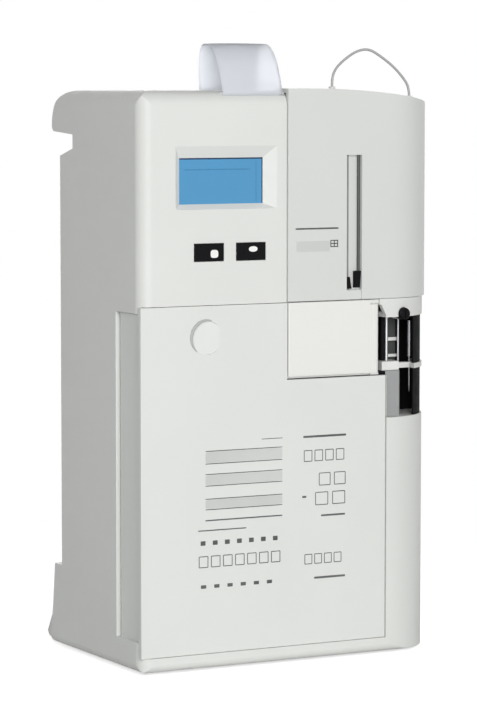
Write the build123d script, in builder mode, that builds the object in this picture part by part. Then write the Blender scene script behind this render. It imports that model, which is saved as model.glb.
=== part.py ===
"""Bench electrolyte analyzer with a slide-out reagent pack, a sensor door, a sampler and a printer.

Lengths are millimetres. X runs to the right, Y to the back and Z up, and the origin is the
middle of the footprint on the table. Places in the cabinet are given from its left side, its
front face and the table, and at() turns them into the part's own frame.
"""

import os
from math import pi, radians, sqrt, tan

from build123d import *

# Walls and gaps.
wall = 4.0  # cabinet moulding
tub_wall = 2.0  # inner mouldings
bay_wall = 2.0  # pack bay
pack_skin = 1.6
pump_skin = 1.8
liner_skin = 1.6
frame_skin = 1.8
seam = 0.4  # between neighbouring covers
slot_gap = 0.5  # between the pack and what lies beside it
clear = 0.3  # between pieces on different bodies
running = 0.06  # radial clearance of a shaft or pin
joint_gap = 0.9  # between the lower half's covers and the upper half's
foot_height = 2.0

# Pump and valve, whose motors set the width of the pump bay.
pump_tube_radius = 1.6
tube_circle = 17.0
shoe_inner = tube_circle + pump_tube_radius + 0.2
shoe_outer = shoe_inner + 3.2
roller_radius = 3.2
roller_circle = 11.9
pump_motor_half = 21.0
valve_motor_radius = 12.0
motor_gap = 1.0
pump_depth = 44.0
rotor_length = 13.0
rotor_gap = 2.0  # between the rotor and the bay's floor
valve_length = 10.0

# Widths from left to right.
panel_width = 111.1
pack_step = panel_width + slot_gap  # right of this line the pack is lower
cover_left = pack_step + slot_gap
pump_x = cover_left + pump_motor_half + 2.9
valve_x = pump_x + pump_motor_half + motor_gap + valve_motor_radius
cover_right = valve_x + valve_motor_radius + 2.4
pack_width = cover_right + 5.9
sampler_left = pack_width + slot_gap
column_width = 50.7  # sampler and curved corner, right of the pack
overall_width = pack_width + column_width

# Depths from front to back.
door_proud = 1.5
back_wall = 130.5
cover_depth = 58.0  # how far the back cover stands behind the back wall
overall_depth = back_wall + cover_depth + door_proud
head_back = back_wall + 9.5
grip_depth = back_wall - 24.5
skirt_step = back_wall + 7.9
skirt_middle = back_wall + 11.5
skirt_back = back_wall + 16.5

# Heights of the lower half.
pack_low = 12.8
pack_high = 249.6
pump_room = 2 * shoe_outer + 8.8
pack_step_high = pack_high - pump_room
pump_z = pack_high - pump_room / 2 + 0.8
cover_low = pack_step_high + 2.2
cover_high = pack_high
bay_low = pack_low + 10.2
bay_high = pack_high - 4.2
wedge_height = pack_high - 3.6
door_low = pack_high + joint_gap

# Electrode stack, which sets the height of the upper half.
reference_height = 26.0
electrode_height = 21.0
detector_height = 14.0
rack_foot = 4.5
clamp_room = 5.0
bracket_thickness = 5.0
rack_floor = door_low + 1.0 + tub_wall
stack_low = rack_floor + rack_foot
stack_top = stack_low + reference_height + 3 * electrode_height + detector_height
bracket_z = (stack_top + clamp_room, stack_top + clamp_room + bracket_thickness)
sensor_bay_top = bracket_z[1] + 8.5
cabinet_height = sensor_bay_top + 14.5

# Sensor door: it stands proud of the cabinet and sits in a rebate.
door_thickness = 3.1
door_top_depth = 16.0  # how far its top flange reaches back
door_side_depth = 46.0  # how far it wraps round the right side
door_corner = overall_width - 16.5  # where the flange gives way to the side wrap
door_rear_gap = 1.2
hinge_radius = 4.5
hinge_pin_radius = 1.5
hinge_depth = door_side_depth + 6.0
hinge_top = cabinet_height - 32.0
pin_grip = 11.0  # how far a hinge pin enters each side

# Cabinet outline.
head_radius = 24.0
grip_low = cabinet_height - 46.4
grip_high = grip_low + 18.1
grip_slope = 6.4
skirt_top = 60.0
front_top_radius = 10.0
bottom_radius = 6.0
rear_corner_radius = 5.0
left_corner_radius = 9.0
right_corner_radius = 47.0
left_top_radius = 10.0
right_top_radius = 14.0
crown_start = 130.0  # the top falls away to the right of this line
crown_radius = 560.0

# Display and keys on the upper left panel.
display_left = 31.0
display_width = 63.5
display_low = door_low + 67.5
display_height = 31.0
pocket_left = 26.3
pocket_right = panel_width - 7.4
pocket_low = display_low - 3.5
pocket_high = display_low + display_height + 8.0
key_width = 22.2
key_height = 11.8
key_low = door_low + 29.2
left_key = 40.3
right_key = 72.3
key_proud = 0.7
key_travel = 1.0
board_depth = 11.6

# Reagent pack.
pack_plate = 4.0
pack_depth = 36.0
pack_end_inset = 2.5
bay_depth = 38.4
thumb_x = 50.0
thumb_z = pack_high - 21.6
thumb_radius = 11.5
thumb_depth = 5.0
port_radius = 1.6
port_spacing = 18.0
port_heights = tuple(bay_low + 49.0 + port_spacing * step for step in range(3))

# Pump cover.
cover_thickness = 2.6
cover_proud = 1.0
barrel_radius = 3.4
barrel_high = cover_high - 3.0
swing_gap = 0.8  # beside the hinge ears, so that the cover's edge swings past them

# Sampler.
sampler_low = pack_step_high - 29.8
sampler_high = pack_high - 12.6
sampler_depth = 45.0
window_left = sampler_left + 26.2  # the dark side windows start here
strip_low = sampler_high - 37.0
strip_high = strip_low + 3.4
probe_x = window_left + 2.0
probe_depth = 17.0
probe_low = sampler_low + 15.7
probe_top = sampler_high - 4.3
sleeve_radius = 1.55
rod_depth = 18.0
left_rod_x = sampler_left + 10.0
right_rod_x = sampler_left + 19.6
screw_x = sampler_left + 6.7
knob_x = sampler_left + 14.0
knob_z = sampler_high + 2.1
knob_radius = 4.2
motor_top = strip_low - 1.5

# Printer.
paper_width = 46.0
paper_left = panel_width - paper_width - 1.1
paper_thickness = 0.3
slot_front = 2.6
slot_back = 5.4
slot_low = cabinet_height - 14.0
roll_radius = 19.0
roll_depth = 72.0
roll_z = cabinet_height - roll_radius - 11.0
platen_radius = 5.0
platen_depth = 15.0
platen_z = cabinet_height - 15.0
frame_x = (paper_left - 7.6, paper_left + paper_width + 2.0)
frame_y = (6.0, roll_depth + roll_radius + 10.0)
frame_z = (roll_z - roll_radius - 3.0, cabinet_height - 8.0)
lid_front = 43.0
lid_back = frame_y[1] - 1.5
lid_barrel_radius = 2.2
lid_left = paper_left - 5.6
lid_right = paper_left + paper_width + 0.5

# Back cover.
hump_left = 33.0
hump_right = overall_width - 34.0
hump_top = grip_low - 17.6
hump_wall = 2.5
socket_recess = 8.5

# Sample tube over the top.
tube_radius = 0.9
fitting_height = 4.0
left_fitting = (panel_width + 51.1, 28.0)
right_fitting = (overall_width - 21.2, 20.0)

# Values that follow from the ones above.
body_right = overall_width - door_proud
rear_face = overall_depth - door_proud
left = -overall_width / 2
front = -overall_depth / 2 + door_proud
rebate = door_thickness - door_proud + seam
hinge_x = overall_width - hinge_radius
outside = 10.0  # a cut starts this far off the face that it enters
beyond = 50.0  # cutting shapes run this far past the outside
crossing = 0.02  # outlines pass each other by this much, so that their surfaces cross cleanly
lowest = (Align.MIN, Align.MIN, Align.MIN)
upright = (Align.CENTER, Align.CENTER, Align.MIN)


def at(x, y, z):
    """The point x right of the left side, y behind the front face and z above the table."""
    return Vector(left + x, front + y, z)


def block(x, y, z, mode=Mode.ADD):
    """A box between two distances in each direction."""
    with Locations(at(x[0], y[0], z[0])):
        Box(x[1] - x[0], y[1] - y[0], z[1] - z[0], align=lowest, mode=mode)


def rod_x(x, y, z, radius, mode=Mode.ADD):
    """A round bar across the cabinet."""
    with Locations(Plane(origin=at(x[0], y, z), z_dir=(1, 0, 0))):
        Cylinder(radius, x[1] - x[0], align=upright, mode=mode)


def rod_y(x, y, z, radius, mode=Mode.ADD):
    """A round bar from front to back."""
    with Locations(Plane(origin=at(x, y[0], z), z_dir=(0, 1, 0))):
        Cylinder(radius, y[1] - y[0], align=upright, mode=mode)


def rod_z(x, y, z, radius, mode=Mode.ADD):
    """An upright round bar."""
    with Locations(at(x, y, z[0])):
        Cylinder(radius, z[1] - z[0], align=upright, mode=mode)


def front_shape(points, y, mode=Mode.ADD):
    """An outline of (x, z) points on the front face, carried from one depth to another."""
    with BuildSketch(Plane(origin=at(0, y[1], 0), x_dir=(1, 0, 0), z_dir=(0, -1, 0))) as outline:
        with BuildLine():
            Polyline(*points, close=True)
        make_face()
    extrude(outline.sketch, amount=y[1] - y[0], mode=mode)


def side_shape(points, x, mode=Mode.ADD):
    """An outline of (y, z) points seen from the left, carried from one x to another."""
    with BuildSketch(Plane(origin=at(x[0], 0, 0), x_dir=(0, 1, 0), z_dir=(1, 0, 0))) as outline:
        with BuildLine():
            Polyline(*points, close=True)
        make_face()
    extrude(outline.sketch, amount=x[1] - x[0], mode=mode)


def plan_shape(points, z, mode=Mode.ADD):
    """An outline of (x, y) points seen from above, carried from one height to another."""
    with BuildSketch(Plane(origin=at(0, 0, z[0]), x_dir=(1, 0, 0), z_dir=(0, 0, 1))) as outline:
        with BuildLine():
            Polyline(*points, close=True)
        make_face()
    extrude(outline.sketch, amount=z[1] - z[0], mode=mode)


def crown(x):
    """The height of the cabinet's top at x."""
    fall = max(0.0, x - crown_start)
    return cabinet_height - crown_radius + sqrt(crown_radius**2 - fall**2)


def shrink_and_round(outline, rounded, inset):
    """Move a sketch's sharp outline in by inset, then round its named corners to match."""
    if inset:
        offset(amount=-inset, kind=Kind.INTERSECTION)
    for corner, radius in rounded:
        if radius - inset > 0.2:
            fillet(outline.vertices().sort_by_distance(corner)[0], radius - inset)


def plan_outline(inset):
    """The cabinet seen from above: a small left corner and a wide right one."""
    rounded = (((0, 0), left_corner_radius), ((body_right, 0), right_corner_radius))
    with BuildSketch(Plane(origin=at(0, 0, 0), x_dir=(1, 0, 0), z_dir=(0, 0, 1))) as plan:
        with BuildLine():
            Polyline((0, 0), (body_right, 0), (body_right, overall_depth), (0, overall_depth), close=True)
        make_face()
        shrink_and_round(plan, rounded, inset)
    return plan.sketch


def side_outline(inset):
    """The cabinet seen from the left: rounded head, hand grip across the back, flared skirt."""
    corner_points = (
        (-crossing, foot_height - crossing),
        (-crossing, cabinet_height + crossing),
        (head_back, cabinet_height + crossing),
        (head_back, grip_high),
        (grip_depth, grip_high - wall / 2),
        (grip_depth, grip_low + grip_slope),
        (back_wall, grip_low),
        (back_wall, skirt_top),
        (skirt_step, skirt_top),
        (skirt_middle, skirt_top / 2),
        (skirt_back, foot_height - crossing),
    )
    rounded = (
        ((0, foot_height), bottom_radius),
        ((0, cabinet_height), front_top_radius),
        ((head_back, cabinet_height), head_radius),
        ((head_back, grip_high), wall),
        ((skirt_back, foot_height), foot_height),
    )
    with BuildSketch(Plane(origin=at(-beyond, 0, 0), x_dir=(0, 1, 0), z_dir=(1, 0, 0))) as side:
        with BuildLine():
            Polyline(*corner_points, close=True)
        make_face()
        shrink_and_round(side, rounded, inset)
    return side.sketch


def front_outline(inset):
    """The cabinet seen from the front: level on the left, crowned and falling to the right."""
    right_edge = body_right + crossing
    edge_height = crown(right_edge)
    rounded = (
        ((0, cabinet_height), left_top_radius),
        ((body_right, edge_height), right_top_radius),
        ((0, foot_height), bottom_radius),
        ((body_right, foot_height), bottom_radius),
    )
    behind = Plane(origin=at(0, overall_depth + beyond, 0), x_dir=(1, 0, 0), z_dir=(0, -1, 0))
    with BuildSketch(behind) as face:
        with BuildLine():
            Line((-crossing, foot_height), (-crossing, cabinet_height))
            Line((-crossing, cabinet_height), (crown_start, cabinet_height))
            TangentArc((crown_start, cabinet_height), (right_edge, edge_height), tangent=(1, 0))
            Line((right_edge, edge_height), (right_edge, foot_height))
            Line((right_edge, foot_height), (-crossing, foot_height))
        make_face()
        shrink_and_round(face, rounded, inset)
    return face.sketch


def cabinet_form(inset, squared=False):
    """The cabinet's outer form shrunk by inset; squared keeps the front top edge sharp."""
    with BuildPart() as form:
        extrude(plan_outline(inset), amount=2 * cabinet_height)
        extrude(front_outline(inset), amount=overall_depth + 2 * beyond, mode=Mode.INTERSECT)
        if not squared:
            extrude(side_outline(inset), amount=overall_width + 2 * beyond, mode=Mode.INTERSECT)
    return form.part


def plan_slab(inset, back, z):
    """A level slab that follows the cabinet's plan, up to a given depth."""
    with BuildPart() as slab:
        extrude(plan_outline(inset), amount=z[1])
        block((0, overall_width), (0, back), z, mode=Mode.INTERSECT)
    return slab.part


def door_area(gap):
    """Where the sensor door lies, seen from above, grown by a gap."""
    far_right = overall_width + beyond
    return (
        (panel_width + seam - gap, -beyond),
        (far_right, -beyond),
        (far_right, door_side_depth + gap * door_rear_gap / seam),
        (door_corner - gap, door_side_depth + gap * door_rear_gap / seam),
        (door_corner - gap, door_top_depth + gap),
        (panel_width + seam - gap, door_top_depth + gap),
    )


def pack_outline(gap):
    """The reagent pack seen from the front, grown by a gap."""
    return (
        (-gap, pack_low - gap),
        (pack_width + gap, pack_low - gap),
        (pack_width + gap, pack_step_high + gap),
        (pack_step + gap, pack_step_high + gap),
        (pack_step + gap, pack_high + gap),
        (-gap, pack_high + gap),
    )


# Main housing: one moulding with the front openings, the grip and the flared skirt.
inner_form = cabinet_form(wall)

with BuildPart() as door_rebate:
    plan_shape(door_area(seam), (door_low - seam, cabinet_height + outside))
    add(cabinet_form(rebate), mode=Mode.SUBTRACT)

with BuildPart() as display_pocket:
    pocket_middle = ((pocket_left + pocket_right) / 2, (pocket_low + pocket_high) / 2)
    display_middle = (display_left + display_width / 2, display_low + display_height / 2)
    mouth = Plane(origin=at(pocket_middle[0], 0, pocket_middle[1]), x_dir=(1, 0, 0), z_dir=(0, -1, 0))
    floor = Plane(origin=at(display_middle[0], wall, display_middle[1]), x_dir=(1, 0, 0), z_dir=(0, -1, 0))
    with BuildSketch(mouth):
        Rectangle(pocket_right - pocket_left, pocket_high - pocket_low)
    with BuildSketch(floor):
        Rectangle(display_width, display_height)
    loft()

sampler_plate = 3.5
with BuildPart() as sampler_plates:
    plate_y = (0, sampler_depth + tub_wall)
    block((sampler_left - 0.8, overall_width), plate_y, (sampler_high, sampler_high + sampler_plate))
    block((sampler_left, overall_width), plate_y, (sampler_low - sampler_plate, sampler_low))
    add(cabinet_form(wall / 2), mode=Mode.INTERSECT)

knob_boss = (6.0, 13.0)
knob_stem = 1.5
opening_inset = 5.0
opening_right = overall_width - 13.0
opening_low = door_low + 4.5
opening_high = sensor_bay_top - 3.5
post_radius = 3.0
post_x = (24.0, panel_width - 8.6)
post_z = (door_low + 21.5, door_low + 103.5)
post_places = [(x, z) for z in post_z for x in post_x]
lid_pin_radius = 1.0
lid_pin_length = 1.6
back_opening = ((hump_left + 9.0, hump_right - 9.0), (skirt_top + 4.0, hump_top - 12.0))
base_inset = 8.0
base_ledge = 6.0
base_back = back_wall - 10.5
base_thickness = 1.6
base_top = 4.0
foot_back = base_back - 14.0
front_feet = ((24.0, 24.0), (overall_width - 35.0, 26.0))
foot_places = (*front_feet, (24.0, foot_back), (overall_width - 27.0, foot_back))
foot_radius = 8.0
foot_stub = 3.0
fitting_base = 2.4

with BuildPart() as main_housing:
    add(cabinet_form(0.0))
    rear_edges = main_housing.edges().filter_by(Axis.Z)
    rear_edges = rear_edges.filter_by_position(Axis.Y, front + back_wall - 0.1, front + back_wall + 0.1)
    fillet(rear_edges, rear_corner_radius)
    add(inner_form, mode=Mode.SUBTRACT)
    add(door_rebate.part, mode=Mode.SUBTRACT)
    block(
        (panel_width + opening_inset, opening_right),
        (-outside, door_side_depth - door_top_depth),
        (opening_low, opening_high),
        mode=Mode.SUBTRACT,
    )
    block(
        (hinge_x - hinge_radius - seam, overall_width + 1),
        (door_side_depth - 1, hinge_depth + hinge_radius + seam + 0.6),
        (door_low - seam, hinge_top + seam),
        mode=Mode.SUBTRACT,
    )
    front_shape(pack_outline(seam), (-outside, pack_plate + seam), mode=Mode.SUBTRACT)
    block((-1, left_corner_radius + 1), (0, bay_depth), (bay_low, bay_high), mode=Mode.SUBTRACT)
    cover_x = (cover_left - seam, cover_right + clear)
    block(cover_x, (-outside, wall + 1), (cover_low - 2, door_low - seam), mode=Mode.SUBTRACT)
    front_shape(
        (
            (cover_right - 0.1, pack_step_high),
            (cover_right - 0.1, wedge_height),
            (cover_right + 2, wedge_height),
            (sampler_left - 0.8, sampler_high + 1.5),
            (sampler_left - 0.8, sampler_high),
            (window_left, sampler_high),
            (window_left, sampler_low),
            (sampler_left, sampler_low),
            (sampler_left, pack_step_high),
        ),
        (-outside, sampler_depth),
        mode=Mode.SUBTRACT,
    )
    for window in ((sampler_low, strip_low), (strip_high, sampler_high)):
        window_x = (window_left - 1, overall_width + 1)
        block(window_x, (-outside, sampler_depth + tub_wall), window, mode=Mode.SUBTRACT)
    add(sampler_plates.part)
    roof = (sampler_high - 1, sampler_high + sampler_plate + 1)
    rod_z(probe_x, probe_depth, roof, sleeve_radius + clear, mode=Mode.SUBTRACT)
    rod_y(knob_x, (knob_boss[0] - 2, knob_boss[1]), knob_z, knob_radius)
    rod_y(knob_x, (-outside, knob_boss[0]), knob_z, knob_radius + seam, mode=Mode.SUBTRACT)
    rod_y(knob_x, (0, knob_boss[1] + 1), knob_z, knob_stem + running, mode=Mode.SUBTRACT)
    add(display_pocket.part, mode=Mode.SUBTRACT)
    for key_left_side in (left_key, right_key):
        block(
            (key_left_side - clear, key_left_side + key_width + clear),
            (-1, wall + 1),
            (key_low - clear, key_low + key_height + clear),
            mode=Mode.SUBTRACT,
        )
    for x, z in post_places:
        rod_y(x, (wall - 1, board_depth), z, post_radius)
    slot_x = (paper_left - 1.5, paper_left + paper_width + 1)
    block(slot_x, (slot_front, slot_back), (slot_low, cabinet_height + outside), mode=Mode.SUBTRACT)
    block(slot_x, (wall, front_top_radius), (slot_low, cabinet_height - wall), mode=Mode.SUBTRACT)
    block(
        (lid_left - seam, lid_right + seam),
        (lid_front - seam, lid_back + lid_barrel_radius + seam),
        (cabinet_height - wall - 2, cabinet_height + outside),
        mode=Mode.SUBTRACT,
    )
    rod_x(
        (lid_left - lid_pin_length, lid_right + lid_pin_length),
        lid_back,
        cabinet_height - lid_barrel_radius,
        lid_pin_radius + running,
        mode=Mode.SUBTRACT,
    )
    block(back_opening[0], (back_wall - wall - 2, back_wall + 2), back_opening[1], mode=Mode.SUBTRACT)
    add(plan_slab(base_inset, base_back, (0, base_top)), mode=Mode.SUBTRACT)
    add(plan_slab(base_inset + base_ledge, base_back - base_ledge, (0, base_top + wall)), mode=Mode.SUBTRACT)
    for boss_z in ((door_low - seam - 12, door_low - seam), (hinge_top + seam, hinge_top + seam + 10)):
        block((hinge_x - 4, body_right - 1), (hinge_depth - 4, hinge_depth + 4), boss_z)
        rod_z(hinge_x, hinge_depth, boss_z, hinge_pin_radius, mode=Mode.SUBTRACT)
    for fitting_x, fitting_y in (left_fitting, right_fitting):
        seat_z = crown(fitting_x + fitting_base)
        rod_z(fitting_x, fitting_y, (seat_z - 2 * wall, seat_z + 1), fitting_base / 2, mode=Mode.SUBTRACT)
        rod_z(fitting_x, fitting_y, (seat_z, seat_z + 5), fitting_base + 0.1, mode=Mode.SUBTRACT)
main_housing.part.label = "main_housing"

# Base plate and feet.
with BuildPart() as base_plate:
    add(plan_slab(base_inset + clear, base_back - clear, (base_top - base_thickness, base_top)))
    for foot_x, foot_y in foot_places:
        rod_z(foot_x, foot_y, (0, base_top + 1), foot_stub, mode=Mode.SUBTRACT)
    with Locations(at((foot_places[0][0] + foot_places[1][0]) / 2, base_back / 2, base_top)):
        with GridLocations(16, 6, 7, 6):
            Box(11, 2.4, 4 * base_thickness, mode=Mode.SUBTRACT)
base_plate.part.label = "base_plate"

with BuildPart() as rubber_feet:
    for foot_x, foot_y in foot_places:
        rod_z(foot_x, foot_y, (0, base_top - base_thickness), foot_radius)
        rod_z(foot_x, foot_y, (base_top - base_thickness, base_top + 0.8), foot_stub)
    fillet(rubber_feet.edges().filter_by(GeomType.CIRCLE).group_by(Axis.Z)[0], 0.5)
rubber_feet.part.label = "rubber_feet"

# Back cover with its vents and the recess for the sockets.
hump_clear = 0.2
socket_x = (hump_left + 13.0, hump_right - 13.0)
socket_z = (20.0, 76.0)
screw_heights = (skirt_top + 30.0, hump_top - 42.0)
screw_inset = 11.0
screw_head = 3.0
screw_sink = 1.2
heel_x = (9.0, overall_width - 11.0)
heel_depth = skirt_back + 24.0
heel_top = 38.0
with BuildPart() as back_cover:
    outer_side = (
        (back_wall + hump_clear, hump_top),
        (rear_face - 26, hump_top),
        (rear_face, hump_top - 30),
        (rear_face, foot_height + 4),
        (rear_face - 4, foot_height + 0.6),
        (skirt_back + hump_clear, foot_height + 0.6),
        (skirt_middle + hump_clear, skirt_top / 2),
        (skirt_step + hump_clear, skirt_top + hump_clear),
        (back_wall + hump_clear, skirt_top + hump_clear),
    )
    side_shape(outer_side, (hump_left, hump_right))
    fillet(back_cover.edges().filter_by(Axis.Z).group_by(Axis.Y)[-1], 6.0)
    side_shape(
        (
            (back_wall - 5, hump_top - hump_wall),
            (rear_face - 27, hump_top - hump_wall),
            (rear_face - hump_wall, hump_top - 31),
            (rear_face - hump_wall, foot_height + 5),
            (skirt_back + hump_wall + 2, foot_height + 5),
            (skirt_step + hump_wall + 2, skirt_top),
            (skirt_step + hump_wall + 2, skirt_top + hump_wall + 2),
            (back_wall - 5, skirt_top + hump_wall + 2),
        ),
        (hump_left + hump_wall, hump_right - hump_wall),
        mode=Mode.SUBTRACT,
    )
    block(
        (socket_x[0] - hump_wall, socket_x[1] + hump_wall),
        (rear_face - socket_recess - hump_wall, rear_face - 1),
        (socket_z[0] - hump_wall, socket_z[1] + hump_wall),
    )
    block(socket_x, (rear_face - socket_recess, rear_face + 1), socket_z, mode=Mode.SUBTRACT)
    for heel in ((heel_x[0], hump_left + 1), (hump_right - 1, heel_x[1])):
        side_shape(
            (
                (skirt_back + hump_clear, foot_height + 0.6),
                (heel_depth - 3, foot_height + 0.6),
                (heel_depth, foot_height + 4),
                (skirt_back + 8, heel_top - 6),
                (skirt_back, heel_top),
                (skirt_middle + hump_clear, skirt_top / 2),
            ),
            heel,
        )
    vent_z = (skirt_top + hump_top) / 2 + 5.0
    with Locations(Plane(origin=at((hump_left + hump_right) / 2, rear_face, vent_z), z_dir=(0, 1, 0))):
        with GridLocations(13, 34, 11, 5):
            Box(6, 24, 4 * hump_wall, mode=Mode.SUBTRACT)
    inlet_left = socket_x[0] + 18.0
    switch_left = socket_x[0] + 58.0
    serial_left = socket_x[0] + 96.0
    inlet_opening = ((inlet_left, inlet_left + 28.0), (36.0, 56.0))
    switch_opening = ((switch_left, switch_left + 13.6), (36.6, 55.4))
    serial_opening = ((serial_left, serial_left + 18.0), (41.0, 50.0))
    for screw_side in (hump_left + screw_inset, hump_right - screw_inset):
        for screw_z in screw_heights:
            sink_y = (rear_face - screw_sink, rear_face + 1)
            rod_y(screw_side, sink_y, screw_z, screw_head, mode=Mode.SUBTRACT)
    for opening_x, opening_z in (inlet_opening, switch_opening, serial_opening):
        opening_y = (rear_face - socket_recess - hump_wall - 1, rear_face)
        block(opening_x, opening_y, opening_z, mode=Mode.SUBTRACT)
back_cover.part.label = "back_cover"

# Pack bay: the upright wall behind the pack, its shelf, lintel and mounting feet.
bay_left = 9.6
bay_right = overall_width - 8.0
column_top = sampler_low - 7.0
bay_foot = 8.4
board_y = 60.0
board_x = (14.0, pack_width - 10.3)
board_z = (bay_low + 17.0, pack_step_high - 4.8)
with BuildPart() as pack_bay:
    front_shape(
        (
            (bay_left, bay_foot),
            (bay_right, bay_foot),
            (bay_right, column_top),
            (pack_width, column_top),
            (pack_width, pack_step_high - 0.6),
            (pack_step, pack_step_high - 0.6),
            (pack_step, bay_high + bay_wall),
            (bay_left, bay_high + bay_wall),
        ),
        (bay_depth, bay_depth + bay_wall),
    )
    front_shape(
        (
            (bay_left, bay_low - bay_wall - clear),
            (pack_width, bay_low - bay_wall - clear),
            (pack_width, pack_step_high - 0.6),
            (pack_step, pack_step_high - 0.6),
            (pack_step, bay_high + bay_wall),
            (bay_left, bay_high + bay_wall),
        ),
        (pack_plate + seam, bay_depth + bay_wall),
    )
    front_shape(
        (
            (0, bay_low - clear),
            (pack_width - bay_wall, bay_low - clear),
            (pack_width - bay_wall, pack_step_high - 0.6 - bay_wall),
            (pack_step - bay_wall, pack_step_high - 0.6 - bay_wall),
            (pack_step - bay_wall, bay_high),
            (0, bay_high),
        ),
        (0, bay_depth),
        mode=Mode.SUBTRACT,
    )
    connector_z = (port_heights[0] - 16.0, port_heights[-1] + 16.0)
    port_slot = (connector_z[0] - 2.0, connector_z[1] + 2.0)
    block((pack_width - 5, pack_width + 1), (10, 30), port_slot, mode=Mode.SUBTRACT)
    for foot_x in (16.0, pack_width - 10.3):
        block((foot_x, foot_x + 30), (bay_depth, bay_depth + 16), (bay_foot, bay_foot + bay_wall))
        block((foot_x, foot_x + 30), (bay_depth + 8, bay_depth + 16), (base_top, bay_foot))
    for x in (board_x[0] + 10, board_x[1] - 12):
        for z in (board_z[0] + 10, board_z[1] - 10):
            rod_y(x, (bay_depth + 1, board_y), z, post_radius)
pack_bay.part.label = "pack_bay"

# Reagent pack: front plate, hollow body, three bottles and the ports at its right end.
scoop_end = thumb_x + thumb_radius - 2.0  # where its floor meets the front
scoop_rise = (scoop_end - thumb_x + thumb_radius) / thumb_depth  # the floor's run for each mm of depth
with BuildPart() as thumb_scoop:
    rod_y(thumb_x, (-1, thumb_depth), thumb_z, thumb_radius)
    plan_shape(
        (
            (thumb_x - thumb_radius - 1, -1),
            (scoop_end + scoop_rise, -1),
            (scoop_end, 0),
            (thumb_x - thumb_radius, thumb_depth),
            (thumb_x - thumb_radius - 1, thumb_depth),
        ),
        (thumb_z - thumb_radius - 1, thumb_z + thumb_radius + 1),
        mode=Mode.INTERSECT,
    )

with BuildPart() as pack_front:
    front_shape(pack_outline(0.0), (0, pack_plate))
    fillet(pack_front.edges().filter_by(Axis.Z).group_by(Axis.X)[-1].group_by(Axis.Y)[0], 1.2)
    cup_depth = thumb_depth + pack_skin
    rod_y(thumb_x, (pack_plate / 2, cup_depth), thumb_z, thumb_radius + pack_skin)
    add(thumb_scoop.part, mode=Mode.SUBTRACT)
pack_front.part.label = "pack_front"

body_left_end = pack_end_inset
body_right_end = pack_width - bay_wall - clear
body_top = bay_high - 0.6
body_step_top = pack_step_high - 0.6 - bay_wall - clear
body_step = pack_step - bay_wall - clear
shelf_z = bay_low + 85.0
with BuildPart() as pack_body:
    front_shape(
        (
            (body_left_end, bay_low),
            (body_right_end, bay_low),
            (body_right_end, body_step_top),
            (body_step, body_step_top),
            (body_step, body_top),
            (body_left_end, body_top),
        ),
        (pack_plate, pack_depth),
    )
    front_shape(
        (
            (body_left_end + pack_skin, bay_low + pack_skin),
            (body_right_end - pack_skin, bay_low + pack_skin),
            (body_right_end - pack_skin, body_step_top - pack_skin),
            (body_step - pack_skin, body_step_top - pack_skin),
            (body_step - pack_skin, body_top - pack_skin),
            (body_left_end + pack_skin, body_top - pack_skin),
        ),
        (pack_plate - 1, pack_depth - pack_skin),
        mode=Mode.SUBTRACT,
    )
    block((body_step, body_right_end), (pack_plate, pack_depth), (shelf_z, shelf_z + pack_skin))
    for port_z in port_heights:
        rod_x((body_right_end - 1, body_right_end + 8), 20, port_z, port_radius)
pack_body.part.label = "pack_body"

bottle_gap = 0.3
bottle_y = (cup_depth + bottle_gap, pack_depth - pack_skin - bottle_gap)


def bottle(x, z, neck_x):
    """A flat moulded bottle with rounded edges and a capped neck on top."""
    neck_y = (bottle_y[0] + bottle_y[1]) / 2
    with BuildPart() as tank:
        block(x, bottle_y, z)
        fillet(tank.edges(), 4.0)
        rod_z(neck_x, neck_y, (z[1] - 1, z[1] + 3), 5.0)
        rod_z(neck_x, neck_y, (z[1] + 3, z[1] + 9), 7.0)
    return tank.part


bottle_base = bay_low + pack_skin
waste_x = (body_left_end + pack_skin + 1, body_step - pack_skin - 1)
with BuildPart() as waste_bottle:
    add(bottle(waste_x, (bottle_base, body_top - 12), pack_step - 31.6))
waste_bottle.part.label = "waste_bottle"
standard_x = (body_step + pack_skin, body_right_end - pack_skin - 1)
with BuildPart() as standard_a_bottle:
    add(bottle(standard_x, (bottle_base, shelf_z - 10), pack_step + 38.4))
standard_a_bottle.part.label = "standard_a_bottle"
with BuildPart() as standard_b_bottle:
    add(bottle(standard_x, (shelf_z + pack_skin, body_step_top - pack_skin - 10), pack_step + 38.4))
standard_b_bottle.part.label = "standard_b_bottle"

with BuildPart() as pack_connector:
    block((pack_width + slot_gap, pack_width + 11), (10, bay_depth), connector_z)
    for port_z in port_heights:
        rod_x((pack_width, pack_width + 8), 20, port_z, port_radius + 0.3, mode=Mode.SUBTRACT)
        rod_x((pack_width + 11, pack_width + 17), 20, port_z, 1.8)
pack_connector.part.label = "pack_connector"

# Display, its board and the two keys.
window_thickness = 1.2
with BuildPart() as lcd_window:
    block(
        (display_left - 4, display_left + display_width + 4),
        (wall, wall + window_thickness),
        (display_low - 4, display_low + display_height + 4),
    )
lcd_window.part.label = "lcd_window"

lcd_front = wall + window_thickness
with BuildPart() as lcd_module:
    block(
        (display_left - 2, display_left + display_width + 2),
        (lcd_front, board_depth),
        (display_low - 3, display_low + display_height + 1),
    )
    block(
        (display_left + 1, display_left + display_width - 1),
        (lcd_front - 1, lcd_front + 0.6),
        (display_low + 1, display_low + display_height - 1),
        mode=Mode.SUBTRACT,
    )
lcd_module.part.label = "lcd_module"

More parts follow.
